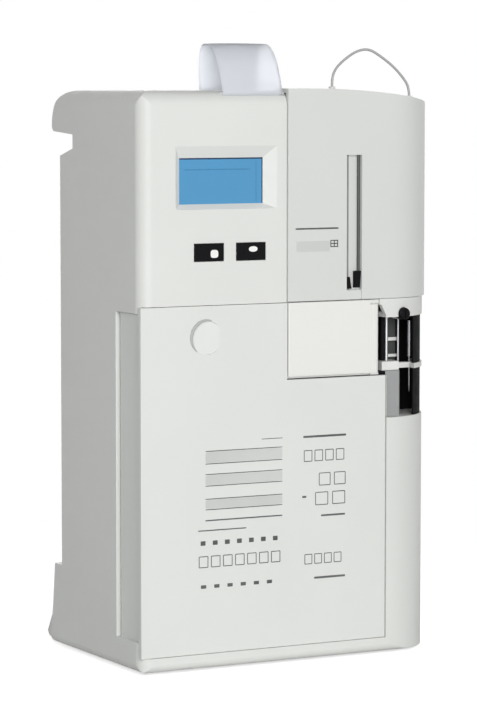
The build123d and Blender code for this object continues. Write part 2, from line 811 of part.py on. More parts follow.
with BuildPart() as display_board:
    block((post_x[0] - 4, post_x[1] + 2.5), (board_depth, board_depth + 1.6), (post_z[0] - 4, post_z[1] + 4))
    for key_left_side in (left_key, right_key):
        dome_x = key_left_side + key_width / 2
        dome_z = key_low + key_height / 2
        block((dome_x - 3, dome_x + 3), (board_depth - 0.6, board_depth), (dome_z - 3, dome_z + 3))
    for chip_x, chip_z in ((40, display_low + 12), (62, display_low - 18), (84, display_low + 12)):
        block((chip_x - 6, chip_x + 6), (board_depth + 1.6, board_depth + 4), (chip_z - 5, chip_z + 5))
display_board.part.label = "display_board"


def key(x):
    """A key cap with a flange behind the panel and a stem towards its switch."""
    middle = (x + key_width / 2, key_low + key_height / 2)
    with BuildPart() as cap:
        block((x, x + key_width), (-key_proud, wall + 0.2), (key_low, key_low + key_height))
        fillet(cap.edges().group_by(Axis.Y)[0], 0.4)
        flange_z = (key_low - 1.4, key_low + key_height + 1.4)
        block((x - 1.4, x + key_width + 1.4), (wall + 0.2, wall + 1.4), flange_z)
        rod_y(middle[0], (wall + 1.4, board_depth - 0.6 - key_travel), middle[1], 2.0)
    return cap.part


with BuildPart() as key_left:
    add(key(left_key))
key_left.part.label = "key_left"
with BuildPart() as key_right:
    add(key(right_key))
key_right.part.label = "key_right"

# Sensor bay with the electrode stack behind the door.
bay_x = (panel_width + 2.4, hinge_x - hinge_radius - seam - 1)
bay_z = (door_low + 1, sensor_bay_top)
sensor_depth = 80.0
with BuildPart() as sensor_bay:
    block(bay_x, (wall + clear, sensor_depth), bay_z)
    block(
        (bay_x[0] + tub_wall, bay_x[1] - tub_wall),
        (0, sensor_depth - tub_wall),
        (bay_z[0] + tub_wall, bay_z[1] - tub_wall),
        mode=Mode.SUBTRACT,
    )
    add(cabinet_form(wall + clear), mode=Mode.INTERSECT)
sensor_bay.part.label = "sensor_bay"

rack_back = sensor_depth - tub_wall
rack_x = (panel_width + 24.9, panel_width + 76.9)
cell_x = (rack_x[0] + 8.0, rack_x[1] - 8.0)
cell_y = (40.0, 68.0)
bore_x = (cell_x[0] + cell_x[1]) / 2
bore_y = cell_y[0] + 6
clamp_radius = 3.0
with BuildPart() as electrode_rack:
    block(rack_x, (cell_y[0] - 4, rack_back), (rack_floor, stack_low))
    block(rack_x, (cell_y[1] + 4, rack_back), (rack_floor, bracket_z[1]))
    block((cell_x[0] + 4, cell_x[1] - 4), (cell_y[0] + 2, rack_back), bracket_z)
    for side_x in ((rack_x[0], cell_x[0] - clear), (cell_x[1] + clear, rack_x[1])):
        block(side_x, (cell_y[1] - 12, rack_back), (rack_floor, bracket_z[0] - 18))
    bracket_cut = (bracket_z[0] - 1, bracket_z[1] + 1)
    rod_z(bore_x, cell_y[0] + 14, bracket_cut, clamp_radius + running, mode=Mode.SUBTRACT)
electrode_rack.part.label = "electrode_rack"

cell_heights = (reference_height, electrode_height, electrode_height, electrode_height)
cell_names = ("reference_electrode", "sodium_electrode", "potassium_electrode", "chloride_electrode")
cells = []
cell_z = stack_low
for name, height in zip(cell_names, cell_heights):
    with BuildPart() as cell:
        block(cell_x, cell_y, (cell_z, cell_z + height - 0.2))
        chamfer(cell.edges().filter_by(Axis.Z).group_by(Axis.Y)[0], 3.0)
        rod_z(bore_x, bore_y, (cell_z - 1, cell_z + height), 0.8, mode=Mode.SUBTRACT)
        grip_x = (cell_x[0] + 8, cell_x[1] - 8)
        block(grip_x, (cell_y[0] - 2, cell_y[0] + 1), (cell_z + 5, cell_z + height - 5))
        rod_y(bore_x, (cell_y[1] - 1, cell_y[1] + 3.7), cell_z + height / 2, 2.0)
    cell.part.label = name
    cells.append(cell)
    cell_z = cell_z + height

detector_z = (cell_z, cell_z + detector_height)
with BuildPart() as sample_detector:
    block(cell_x, cell_y, detector_z)
    chamfer(sample_detector.edges().filter_by(Axis.Z).group_by(Axis.Y)[0], 5.0)
    rod_z(bore_x, bore_y, (detector_z[0] - 1, detector_z[1] + 1), 0.8, mode=Mode.SUBTRACT)
    rod_x((cell_x[1] - 1, cell_x[1] + 4), cell_y[0] + 14, (detector_z[0] + detector_z[1]) / 2, 2.5)
sample_detector.part.label = "sample_detector"

with BuildPart() as clamp_screw:
    rod_z(bore_x, cell_y[0] + 14, (detector_z[1] + clear, bracket_z[1] + clear), clamp_radius)
    rod_z(bore_x, cell_y[0] + 14, (bracket_z[1] + clear, bracket_z[1] + 6), 10.0)
    with Locations(at(bore_x, cell_y[0] + 14, bracket_z[1])):
        with PolarLocations(10.6, 12):
            Cylinder(1.5, 20, mode=Mode.SUBTRACT)
clamp_screw.part.label = "clamp_screw"

with BuildPart() as electrode_board:
    amplifier_x = rack_x[1] + 7.0
    block((amplifier_x, amplifier_x + 2), (24, rack_back), (rack_floor, bracket_z[0]))
    for chip_low in (16.5, 46.5, 76.5):
        chip_z = rack_floor + chip_low
        block((amplifier_x + 2, amplifier_x + 5), (36, 52), (chip_z, chip_z + 14))
electrode_board.part.label = "electrode_board"

# Sensor door with its hinge barrel, tube channel and printed-label slot.
channel_x = (panel_width + 46.4, panel_width + 58.4)
channel_z = (door_low + 6.5, door_low + 99.5)
channel_depth = 2.9
slot_z = door_low + 49.5
door_slot = ((panel_width + 5.9, panel_width + 39.9), (slot_z - 0.6, slot_z + 0.6))
seat_depth = 0.1  # printed labels lie in shallow seats
label_seats = (
    ((panel_width + 6.8, panel_width + 33.4), (door_low + 33.8, door_low + 41.0)),
    ((panel_width + 33.4, panel_width + 39.6), (door_low + 35.8, door_low + 42.1)),
)
with BuildPart() as sensor_door:
    add(cabinet_form(-door_proud, squared=True))
    add(cabinet_form(door_thickness - door_proud, squared=True), mode=Mode.SUBTRACT)
    plan_shape(door_area(0.0), (door_low, cabinet_height + outside), mode=Mode.INTERSECT)
    ear_y = (door_side_depth - 1, hinge_depth)
    block((overall_width - door_thickness, overall_width), ear_y, (door_low, hinge_top))
    rod_z(hinge_x, hinge_depth, (door_low, hinge_top), hinge_radius)
    pin_reach = pin_grip + clear
    for pin_z in ((door_low - 1, door_low + pin_reach), (hinge_top - pin_reach, hinge_top + 1)):
        rod_z(hinge_x, hinge_depth, pin_z, hinge_pin_radius + running, mode=Mode.SUBTRACT)
    block((channel_x[0] - 2, channel_x[1] + 2), (0, channel_depth + 2), (channel_z[0] - 2, channel_z[1] + 2))
    block(channel_x, (-door_proud - 1, channel_depth), channel_z, mode=Mode.SUBTRACT)
    runner_z = (door_low - 1, channel_z[0] + 1)
    runner_y = (-door_proud - 1, -door_proud + 1)
    block((channel_x[0] + 3.5, channel_x[1]), runner_y, runner_z, mode=Mode.SUBTRACT)
    block(door_slot[0], (-door_proud - 1, -door_proud + 0.8), door_slot[1], mode=Mode.SUBTRACT)
    for seat_x, seat_z in label_seats:
        block(seat_x, (-door_proud - 1, -door_proud + seat_depth), seat_z, mode=Mode.SUBTRACT)
sensor_door.part.label = "sensor_door"

with BuildPart() as door_hinge_pins:
    rod_z(hinge_x, hinge_depth, (door_low - seam - 10, door_low + pin_grip), hinge_pin_radius)
    rod_z(hinge_x, hinge_depth, (hinge_top - pin_grip, hinge_top + seam + 10), hinge_pin_radius)
door_hinge_pins.part.label = "door_hinge_pins"

left_line = channel_x[0] + 2.8
right_line = channel_x[1] - 1.0
with BuildPart() as door_tubes:
    rod_z(left_line, channel_depth - 0.6, (channel_z[0] + 9, channel_z[1] - 0.2), 0.6)
    rod_z(right_line, channel_depth - 1.0, (channel_z[0] + 13, channel_z[1] - 0.2), 1.0)
door_tubes.part.label = "door_tubes"

with BuildPart() as door_tube_fittings:
    with Locations(at(left_line, channel_depth - 2.1, channel_z[0] + 1)):
        Cone(2.1, 0.9, 8, align=upright)
    elbow_y = (channel_depth - 1.4, channel_depth)
    block((left_line - 1.2, left_line + 1.2), elbow_y, (channel_z[0] + 1, channel_z[0] + 9))
    side_shape(
        (
            (channel_depth, channel_z[0] + 1.5),
            (channel_depth, channel_z[0] + 13),
            (channel_depth - 3.6, channel_z[0] + 13),
            (channel_depth - 2.0, channel_z[0] + 1.5),
        ),
        (right_line - 3.6, right_line + 0.9),
    )
door_tube_fittings.part.label = "door_tube_fittings"

# Pump bay with the pump, the valve and the cover over them.
bay_lip = cover_low - 1.4
bay_top = cover_high + 0.2
pump_x_range = (cover_left + 0.1, cover_right - 0.2)
bay_floor = pump_depth - tub_wall
rotor_y = (bay_floor - rotor_gap - rotor_length, bay_floor - rotor_gap)
shoe_front = rotor_y[0] + 2.0
valve_front = bay_floor - valve_length
with BuildPart() as pump_bay:
    block(pump_x_range, (cover_thickness - cover_proud + seam, pump_depth), (bay_lip, bay_top))
    block(
        (pump_x_range[0] + pump_skin, pump_x_range[1] - pump_skin),
        (0, bay_floor),
        (bay_lip + pump_skin, bay_top - pump_skin),
        mode=Mode.SUBTRACT,
    )
    block(
        (cover_right - 2 * barrel_radius - seam, cover_right),
        (0, 2 * barrel_radius - cover_proud + seam),
        (cover_low - 0.2, barrel_high + clear),
        mode=Mode.SUBTRACT,
    )
    rod_y(pump_x, (shoe_front, pump_depth - 1), pump_z, shoe_outer)
    rod_y(pump_x, (shoe_front - 1, bay_floor), pump_z, shoe_inner, mode=Mode.SUBTRACT)
    block(
        (pump_x - shoe_inner, pump_x + shoe_outer + 1),
        (shoe_front - 1, bay_floor),
        (bay_lip + pump_skin, pump_z),
        mode=Mode.SUBTRACT,
    )
    rod_y(pump_x, (pump_depth - 4, pump_depth + 1), pump_z, 2.5 + running, mode=Mode.SUBTRACT)
    rod_y(valve_x, (pump_depth - 4, pump_depth + 1), pump_z, 2.5 + running, mode=Mode.SUBTRACT)
    ear_x = (cover_right - 2 * barrel_radius, cover_right - 0.2)
    barrel_x = cover_right - barrel_radius
    barrel_y = barrel_radius - cover_proud
    pin_radius = 1.2
    ear_y = (barrel_y - pin_radius - swing_gap, 2 * barrel_radius)
    block(ear_x, ear_y, (barrel_high + clear, bay_top))
    block(ear_x, ear_y, (bay_lip, cover_low - 0.2))
    rod_z(barrel_x, barrel_y, (bay_lip - 1, cover_high + 2), pin_radius + running, mode=Mode.SUBTRACT)
pump_bay.part.label = "pump_bay"

with BuildPart() as pump_cover:
    cover_y = (-cover_proud, cover_thickness - cover_proud)
    block((cover_left + 0.2, barrel_x), cover_y, (cover_low, cover_high))
    notch_x = (ear_x[0] - swing_gap, cover_right)
    block(notch_x, (-outside, outside), (barrel_high, cover_high + 1), mode=Mode.SUBTRACT)
    fillet(pump_cover.edges().filter_by(Axis.Z).group_by(Axis.X)[0].group_by(Axis.Y)[0], 0.8)
    panel_x = (cover_left + 2, ear_x[0])
    block(panel_x, (-outside, -cover_proud + 0.5), (cover_low, cover_high - 6), mode=Mode.SUBTRACT)
    rod_z(barrel_x, barrel_y, (cover_low, barrel_high), barrel_radius)
    rod_z(barrel_x, barrel_y, (bay_lip, bay_top), pin_radius)
pump_cover.part.label = "pump_cover"

with BuildPart() as pump_rotor:
    rod_y(pump_x, (rotor_y[0], rotor_y[0] + 2), pump_z, roller_circle + 2)
    rod_y(pump_x, (rotor_y[1] - 2, rotor_y[1]), pump_z, roller_circle + 2)
    rod_y(pump_x, (rotor_y[0], pump_depth + 12), pump_z, 2.5)
    rod_y(pump_x, rotor_y, pump_z, 6.0)
    with Locations(Plane(origin=at(pump_x, rotor_y[0] - 1, pump_z), z_dir=(0, 1, 0))):
        with PolarLocations(roller_circle, 4):
            Cylinder(1.2, rotor_y[1] - rotor_y[0] + 2, align=upright, mode=Mode.SUBTRACT)
pump_rotor.part.label = "pump_rotor"

with BuildPart() as pump_rollers:
    with Locations(Plane(origin=at(pump_x, rotor_y[0] + 2.2, pump_z), z_dir=(0, 1, 0))):
        with PolarLocations(roller_circle, 4):
            Cylinder(roller_radius, rotor_y[1] - rotor_y[0] - 4.4, align=upright)
    with Locations(Plane(origin=at(pump_x, rotor_y[0], pump_z), z_dir=(0, 1, 0))):
        with PolarLocations(roller_circle, 4):
            Cylinder(1.2, rotor_y[1] - rotor_y[0], align=upright)
pump_rollers.part.label = "pump_rollers"

with BuildPart() as pump_motor:
    motor_side = (pump_z - pump_motor_half, pump_z + pump_motor_half)
    block((pump_x - pump_motor_half, pump_x + pump_motor_half), (pump_depth, pump_depth + 38), motor_side)
    chamfer(pump_motor.edges().filter_by(Axis.Y), 4.0)
    rod_y(pump_x, (pump_depth - 1, pump_depth + 14), pump_z, 2.5 + running, mode=Mode.SUBTRACT)
pump_motor.part.label = "pump_motor"

tube_bottom = bay_lip + pump_skin
tube_y = (rotor_y[0] + rotor_y[1]) / 2
with BuildPart() as pump_tube:
    with BuildLine() as tube_line:
        Line(at(pump_x - tube_circle, tube_y, tube_bottom), at(pump_x - tube_circle, tube_y, pump_z))
        ThreePointArc(
            at(pump_x - tube_circle, tube_y, pump_z),
            at(pump_x, tube_y, pump_z + tube_circle),
            at(pump_x + tube_circle, tube_y, pump_z),
        )
        Line(at(pump_x + tube_circle, tube_y, pump_z), at(pump_x + tube_circle, tube_y, tube_bottom))
    with BuildSketch(Plane(origin=at(pump_x - tube_circle, tube_y, tube_bottom), z_dir=(0, 0, 1))):
        Circle(pump_tube_radius)
    sweep()
pump_tube.part.label = "pump_tube"

with BuildPart() as valve_body:
    rod_y(valve_x, (valve_front, bay_floor), pump_z, 9.5)
    rod_y(valve_x, (valve_front - 2, pump_depth), pump_z, 2.5 + running, mode=Mode.SUBTRACT)
    for port_z in (pump_z - 9.5, pump_z + 9.5):
        rod_z(valve_x, valve_front + valve_length / 2, (port_z - 3, port_z + 3), 1.8)
valve_body.part.label = "valve_body"

with BuildPart() as valve_rotor:
    rod_y(valve_x, (valve_front - 10, valve_front - clear), pump_z, 7.5)
    rod_y(valve_x, (valve_front - 1, pump_depth + 10), pump_z, 2.5)
    block((valve_x - 1.5, valve_x + 1.5), (valve_front - 12, valve_front - 9), (pump_z - 7, pump_z + 7))
valve_rotor.part.label = "valve_rotor"

with BuildPart() as valve_motor:
    rod_y(valve_x, (pump_depth, pump_depth + 24), pump_z, valve_motor_radius)
    rod_y(valve_x, (pump_depth - 1, pump_depth + 12), pump_z, 2.5 + running, mode=Mode.SUBTRACT)
valve_motor.part.label = "valve_motor"

# Sampler: dark liner, probe carriage on two rods, its screw and motor, and the round knob.
curve_gap = 1.2
with BuildPart() as liner_curve:
    extrude(plan_outline(curve_gap), amount=cabinet_height)
    extrude(plan_outline(curve_gap + liner_skin), amount=cabinet_height, mode=Mode.SUBTRACT)
    liner_z = (sampler_low + 0.1, sampler_high - 0.1)
    block((window_left, overall_width), (0, sampler_depth + 1), liner_z, mode=Mode.INTERSECT)

with BuildPart() as strip_ring:
    extrude(plan_outline(-1.0), amount=cabinet_height)
    extrude(plan_outline(wall + 0.1), amount=cabinet_height, mode=Mode.SUBTRACT)
    ring_x = (window_left - 2, overall_width + 1)
    block(ring_x, (-5, sampler_depth + 5), (strip_low - 0.1, strip_high + 0.1), mode=Mode.INTERSECT)

with BuildPart() as sampler_liner:
    step = pack_step_high + 0.6
    liner_x = cover_right + 0.2
    liner_y = (pack_plate + 1, sampler_depth + 1)
    block((liner_x, body_right - 0.2), (sampler_depth, sampler_depth + liner_skin), liner_z)
    block((liner_x, liner_x + liner_skin), (2 * barrel_radius + 0.6, sampler_depth + 1), (step, liner_z[1]))
    block((liner_x, sampler_left + liner_skin), liner_y, (step, step + liner_skin))
    block((sampler_left, sampler_left + liner_skin), liner_y, (liner_z[0], step + liner_skin))
    add(liner_curve.part)
    add(strip_ring.part, mode=Mode.SUBTRACT)
sampler_liner.part.label = "sampler_liner"

motor_x = (sampler_left + 4.6, sampler_left + 18.0)
motor_y = (12.0, 34.0)
with BuildPart() as probe_motor:
    block(motor_x, motor_y, (sampler_low, motor_top))
    fillet(probe_motor.edges().filter_by(Axis.Z), 1.5)
    rod_z(screw_x, rod_depth, (motor_top - 8, motor_top + 1), 1.5 + running, mode=Mode.SUBTRACT)
    rod_z(left_rod_x, rod_depth, (motor_top - 6, motor_top + 1), 1.2, mode=Mode.SUBTRACT)
probe_motor.part.label = "probe_motor"

with BuildPart() as probe_frame:
    frame_plate_x = (sampler_left + 12.2, sampler_left + 22.2)
    block(frame_plate_x, (26, 28), (motor_top, sampler_high))
    for bar_z in ((strip_high + 3.6, strip_high + 6.0), (strip_high + 15.0, strip_high + 17.8)):
        block(frame_plate_x, (22.5, 27), bar_z)
probe_frame.part.label = "probe_frame"

with BuildPart() as guide_rods:
    rod_z(left_rod_x, rod_depth, (motor_top - 6, sampler_high), 1.2)
    rod_z(right_rod_x, rod_depth, (sampler_low, sampler_high), 0.8)
guide_rods.part.label = "guide_rods"

with BuildPart() as lead_screw:
    rod_z(screw_x, rod_depth, (motor_top - 7.7, sampler_high - clear), 1.5)
lead_screw.part.label = "lead_screw"

arm_z = (strip_low - 0.2, strip_high + 0.2)
with BuildPart() as probe_carriage:
    block((sampler_left + 1.8, sampler_left + 15.7), (10, 22), (motor_top + clear, strip_high + 1.9))
    fillet(probe_carriage.edges().filter_by(Axis.X).group_by(Axis.Y)[0], 1.0)
    block((sampler_left + 15.2, probe_x + 1.6), (probe_depth - 1.6, probe_depth + 3.5), arm_z)
    through = (sampler_low, sampler_high)
    rod_z(left_rod_x, rod_depth, through, 1.2 + running, mode=Mode.SUBTRACT)
    rod_z(right_rod_x, rod_depth, through, 0.8 + running, mode=Mode.SUBTRACT)
    rod_z(screw_x, rod_depth, through, 1.5 + running, mode=Mode.SUBTRACT)
    rod_z(probe_x, probe_depth, through, 0.7, mode=Mode.SUBTRACT)
probe_carriage.part.label = "probe_carriage"

with BuildPart() as probe_needle:
    sleeve_low = strip_high + 4.3
    rod_z(probe_x, probe_depth, (sleeve_low, probe_top), sleeve_radius)
    rod_z(probe_x, probe_depth, (probe_low + 4, sleeve_low + 0.3), 0.7)
    with Locations(at(probe_x, probe_depth, probe_low)):
        Cone(0.3, 0.7, 4, align=upright)
probe_needle.part.label = "probe_needle"

with BuildPart() as sampler_knob:
    rod_y(knob_x, (-door_proud + 0.1, knob_boss[0] - clear), knob_z, knob_radius)
    fillet(sampler_knob.edges().filter_by(GeomType.CIRCLE).group_by(Axis.Y)[0], 1.0)
    rod_y(knob_x, (knob_boss[0] - 1, knob_boss[1] + 1), knob_z, knob_stem)
    pointer_z = (knob_z - 3, knob_z + 3)
    block((knob_x - 0.5, knob_x + 0.5), (-door_proud, -door_proud + 0.8), pointer_z, mode=Mode.SUBTRACT)
sampler_knob.part.label = "sampler_knob"

# Printer: frame with trough and head, platen, paper roll, the printed strip and the lid.
trough_low = platen_z - platen_radius - 10.0
inner_x = (frame_x[0] + frame_skin, frame_x[1] - frame_skin)
above = cabinet_height + outside
with BuildPart() as printer_frame:
    block(frame_x, (14.4, frame_y[1]), (frame_z[0], frame_z[1]))
    block(inner_x, (0, frame_y[1] - frame_skin), (frame_z[0] + frame_skin, above), mode=Mode.SUBTRACT)
    block(frame_x, (frame_y[0], 16), (trough_low, frame_z[1]))
    block(inner_x, (0, 30), (trough_low + 2, above), mode=Mode.SUBTRACT)
    head_y = (frame_y[0], platen_depth - platen_radius - 0.6)
    block((inner_x[0] - 1, inner_x[1] + 1), head_y, (trough_low, platen_z))
    rod_x(frame_x, platen_depth, platen_z, 1.5 + running, mode=Mode.SUBTRACT)
    rod_x(frame_x, roll_depth, roll_z, 2.0 + running, mode=Mode.SUBTRACT)
    block((paper_left - 1, paper_left + paper_width + 1), (40, 48), (frame_z[0], roll_z - 4))
printer_frame.part.label = "printer_frame"

with BuildPart() as platen_roller:
    rod_x((paper_left - 1, paper_left + paper_width - 0.4), platen_depth, platen_z, platen_radius)
    rod_x((frame_x[0], frame_x[1]), platen_depth, platen_z, 1.5)
platen_roller.part.label = "platen_roller"

with BuildPart() as paper_roll:
    rod_x((paper_left, paper_left + paper_width), roll_depth, roll_z, roll_radius)
    rod_x((frame_x[0], frame_x[1]), roll_depth, roll_z, 2.0)
paper_roll.part.label = "paper_roll"

strip_y = platen_depth - platen_radius - 0.3
leaving = ((slot_front + slot_back) / 2, cabinet_height - 2.5)
rising = (9.4, cabinet_height + 15)
shoulder = (21, cabinet_height + 29.5)
falling = (37.2, cabinet_height + 28)
with BuildPart() as paper_strip:
    with BuildSketch(Plane(origin=at(paper_left, 0, 0), x_dir=(0, 1, 0), z_dir=(1, 0, 0))) as arch:
        with BuildLine() as arch_line:
            Polyline((strip_y, platen_z - 4), (strip_y, platen_z + 1), leaving)
            ThreePointArc(leaving, rising, shoulder)
            ThreePointArc(shoulder, (30, cabinet_height + 32), falling)
            ThreePointArc(falling, (39.2, cabinet_height + 16), (38.6, cabinet_height + 0.3))
        trace(line_width=paper_thickness)
    extrude(amount=paper_width)
paper_strip.part.label = "paper_strip"

lid_barrel_z = cabinet_height - lid_barrel_radius
lid_pin_x = (lid_left - lid_pin_length + clear, lid_right + lid_pin_length - clear)
with BuildPart() as printer_lid:
    block((lid_left, lid_right), (lid_front, lid_back), (cabinet_height - 3, cabinet_height))
    fillet(printer_lid.edges().filter_by(Axis.Z).group_by(Axis.Y)[0], 3.0)
    rod_x((lid_left, lid_right), lid_back, lid_barrel_z, lid_barrel_radius)
    rod_x(lid_pin_x, lid_back, lid_barrel_z, lid_pin_radius)
    finger_y = (lid_front + 4, lid_front + 12)
    rod_y((lid_left + lid_right) / 2, finger_y, cabinet_height + 4, 6, mode=Mode.SUBTRACT)
printer_lid.part.label = "printer_lid"

# Electronics and sockets.
with BuildPart() as main_board:
    block(board_x, (board_y, board_y + 1.6), board_z)
    chips = ((36, 40, 30, 30), (86, 50, 24, 18), (126, 90, 20, 30), (46, 110, 34, 20), (16, 20, 8, 26))
    for right_of, above_foot, chip_width, chip_height in chips:
        chip_x = board_x[0] + right_of
        chip_z = board_z[0] + above_foot
        chip_range = (chip_z - chip_height / 2, chip_z + chip_height / 2)
        block((chip_x, chip_x + chip_width), (board_y + 1.6, board_y + 5), chip_range)
    for right_of in (96.0, 112.0, 128.0):
        rod_y(board_x[0] + right_of, (board_y + 1.6, board_y + 16), board_z[0] + 22, 6.0)
main_board.part.label = "main_board"

with BuildPart() as power_supply:
    supply_x = (hump_left + 31, hump_right - 31)
    supply_y = (rear_face - hump_wall - 40, rear_face - hump_wall)
    supply_z = (skirt_top + 36, hump_top - 80)
    block(supply_x, supply_y, supply_z)
    with Locations(at((supply_x[0] + supply_x[1]) / 2, supply_y[0], (supply_z[0] + supply_z[1]) / 2)):
        with GridLocations(14, 1, 7, 1):
            Box(5, 4, 120, mode=Mode.SUBTRACT)
power_supply.part.label = "power_supply"

recess_floor = rear_face - socket_recess
inlet_middle = (sum(inlet_opening[0]) / 2, sum(inlet_opening[1]) / 2)
with BuildPart() as power_inlet:
    flange_x = (inlet_opening[0][0] - 10, inlet_opening[0][1] + 10)
    flange_z = (inlet_opening[1][0] - 2, inlet_opening[1][1] + 2)
    block(flange_x, (recess_floor, recess_floor + 2.5), flange_z)
    block(inlet_opening[0], (recess_floor - 20, recess_floor + 1), inlet_opening[1])
    block(
        (inlet_opening[0][0] + 2, inlet_opening[0][1] - 2),
        (recess_floor - 14, recess_floor + 4),
        (inlet_opening[1][0] + 2, inlet_opening[1][1] - 2),
        mode=Mode.SUBTRACT,
    )
    for pin_x, pin_z in ((-7, 2), (7, 2), (0, -2)):
        block(
            (inlet_middle[0] + pin_x - 1, inlet_middle[0] + pin_x + 1),
            (recess_floor - 15, recess_floor - 1),
            (inlet_middle[1] + pin_z - 2.5, inlet_middle[1] + pin_z + 2.5),
        )
power_inlet.part.label = "power_inlet"

switch_z = (switch_opening[1][0] + switch_opening[1][1]) / 2
rocker_z = switch_opening[1]
with BuildPart() as switch_frame:
    bezel_x = (switch_opening[0][0] - 1.5, switch_opening[0][1] + 1.5)
    block(bezel_x, (recess_floor, recess_floor + 1.5), (rocker_z[0] - 1.5, rocker_z[1] + 1.5))
    block(switch_opening[0], (recess_floor - 16, recess_floor + 1), rocker_z)
    block(
        (switch_opening[0][0] + 1.5, switch_opening[0][1] - 1.5),
        (recess_floor - 10, recess_floor + 3),
        (rocker_z[0] + 1.5, rocker_z[1] - 1.5),
        mode=Mode.SUBTRACT,
    )
    rod_x(switch_opening[0], recess_floor - 2, switch_z, 1.0 + running, mode=Mode.SUBTRACT)
switch_frame.part.label = "switch_frame"

with BuildPart() as power_switch:
    side_shape(
        (
            (recess_floor - 6, switch_z - 4),
            (recess_floor + 1, switch_z - 6.6),
            (recess_floor + 3.4, switch_z - 6.2),
            (recess_floor + 1.2, switch_z),
            (recess_floor + 3.4, switch_z + 6.2),
            (recess_floor + 1, switch_z + 6.6),
            (recess_floor - 6, switch_z + 4),
        ),
        (switch_opening[0][0] + 1.8, switch_opening[0][1] - 1.8),
    )
    rod_x((switch_opening[0][0] + 0.4, switch_opening[0][1] - 0.4), recess_floor - 2, switch_z, 1.0)
power_switch.part.label = "power_switch"

serial_middle = (sum(serial_opening[0]) / 2, sum(serial_opening[1]) / 2)
jack_spacing = 25.0
jack_hole = 1.45
with BuildPart() as serial_port:
    shell_x = (serial_middle[0] - 15.5, serial_middle[0] + 15.5)
    block(shell_x, (recess_floor, recess_floor + 1), (serial_middle[1] - 6.2, serial_middle[1] + 6.2))
    block(serial_opening[0], (recess_floor - 10, recess_floor + 6), serial_opening[1])
    block(
        (serial_opening[0][0] + 0.8, serial_opening[0][1] - 0.8),
        (recess_floor + 0.5, recess_floor + 7),
        (serial_opening[1][0] + 0.8, serial_opening[1][1] - 0.8),
        mode=Mode.SUBTRACT,
    )
    for side in (-1, 1):
        jack_x = serial_middle[0] + side * jack_spacing / 2
        with BuildSketch(Plane(origin=at(jack_x, recess_floor, serial_middle[1]), z_dir=(0, 1, 0))):
            RegularPolygon(2.8, 6)
        extrude(amount=6)
        rod_y(jack_x, (recess_floor + 1, recess_floor + 7), serial_middle[1], jack_hole, mode=Mode.SUBTRACT)
serial_port.part.label = "serial_port"

with BuildPart() as case_screws:
    for screw_side in (hump_left + screw_inset, hump_right - screw_inset):
        for screw_z in screw_heights:
            rod_y(screw_side, (rear_face - screw_sink, rear_face), screw_z, screw_head)
case_screws.part.label = "case_screws"

# Sample tube over the top and its two fittings.
fitting_tops = []
with BuildPart() as tube_fittings:
    for fitting_x, fitting_y in (left_fitting, right_fitting):
        base_z = crown(fitting_x + fitting_base)
        rod_z(fitting_x, fitting_y, (base_z, base_z + fitting_height), fitting_base)
        rod_z(fitting_x, fitting_y, (base_z - wall, base_z + 1), fitting_base / 2)
        fitting_tops.append(base_z + fitting_height)
    chamfer(tube_fittings.edges().filter_by(GeomType.CIRCLE).group_by(Axis.Z)[-1], 0.6)
tube_fittings.part.label = "tube_fittings"

tube_route = [
    (*left_fitting, fitting_tops[0]),
    (162.2, 28.0, cabinet_height + 9.6),
    (165.8, 28.0, cabinet_height + 16.2),
    (172.8, 28.0, cabinet_height + 21.9),
    (180.9, 27.3, cabinet_height + 27.2),
    (190.2, 25.6, cabinet_height + 29.1),
    (199.8, 23.8, cabinet_height + 23.2),
    (208.6, 22.2, cabinet_height + 16.4),
    (215.0, 21.0, cabinet_height + 9.4),
    (219.6, 20.1, cabinet_height + 2.7),
    (*right_fitting, fitting_tops[1]),
]


def corner_radii(points):
    """The radius of each corner of a route: as large as its two runs leave room for."""
    radii = []
    for before, here, after in zip(points, points[1:], points[2:]):
        first = Vector(*here) - Vector(*before)
        second = Vector(*after) - Vector(*here)
        turn = radians(first.get_angle(second))
        radii.append(0.45 * min(first.length, second.length) / tan(turn / 2))
    return radii


tube_radii = corner_radii(tube_route)
with BuildPart() as sample_tube:
    with BuildLine() as tube_path:
        FilletPolyline(*[at(*point) for point in tube_route], radius=tube_radii)
    with BuildSketch(Plane(origin=tube_path.line @ 0, z_dir=tube_path.line % 0)):
        Circle(tube_radius)
    sweep()
sample_tube.part.label = "sample_tube"
tube_length = sum(edge.length for edge in tube_path.edges())
filled = sample_tube.part.volume / (pi * tube_radius**2 * tube_length)
print("sample tube length", round(tube_length, 1), "radii", [round(radius, 1) for radius in tube_radii])
print("volume over section times length", round(filled, 4))

pieces = [
    main_housing, base_plate, rubber_feet, back_cover, pack_bay, pack_front, pack_body, waste_bottle,
    standard_a_bottle, standard_b_bottle, pack_connector, lcd_window, lcd_module, display_board, key_left,
    key_right, sensor_bay, electrode_rack, *cells, sample_detector, clamp_screw, electrode_board,
    sensor_door, door_hinge_pins, door_tubes, door_tube_fittings, pump_bay, pump_cover, pump_rotor,
    pump_rollers, pump_motor, pump_tube, valve_body, valve_rotor, valve_motor, sampler_liner, probe_motor,
    probe_frame, guide_rods, lead_screw, probe_carriage, probe_needle, sampler_knob, printer_frame,
    platen_roller, paper_roll, paper_strip, printer_lid, main_board, power_supply, power_inlet,
    switch_frame, power_switch, serial_port, case_screws, tube_fittings, sample_tube,
]
os.makedirs("parts", exist_ok=True)
for piece in pieces:
    export_step(piece.part, f"parts/{piece.part.label}.step")
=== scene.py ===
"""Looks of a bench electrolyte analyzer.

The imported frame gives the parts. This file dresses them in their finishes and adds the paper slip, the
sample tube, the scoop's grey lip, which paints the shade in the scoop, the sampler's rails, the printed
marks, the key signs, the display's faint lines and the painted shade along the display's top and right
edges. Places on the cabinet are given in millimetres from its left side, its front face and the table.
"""

import logging
import math
from dataclasses import dataclass
from enum import Enum

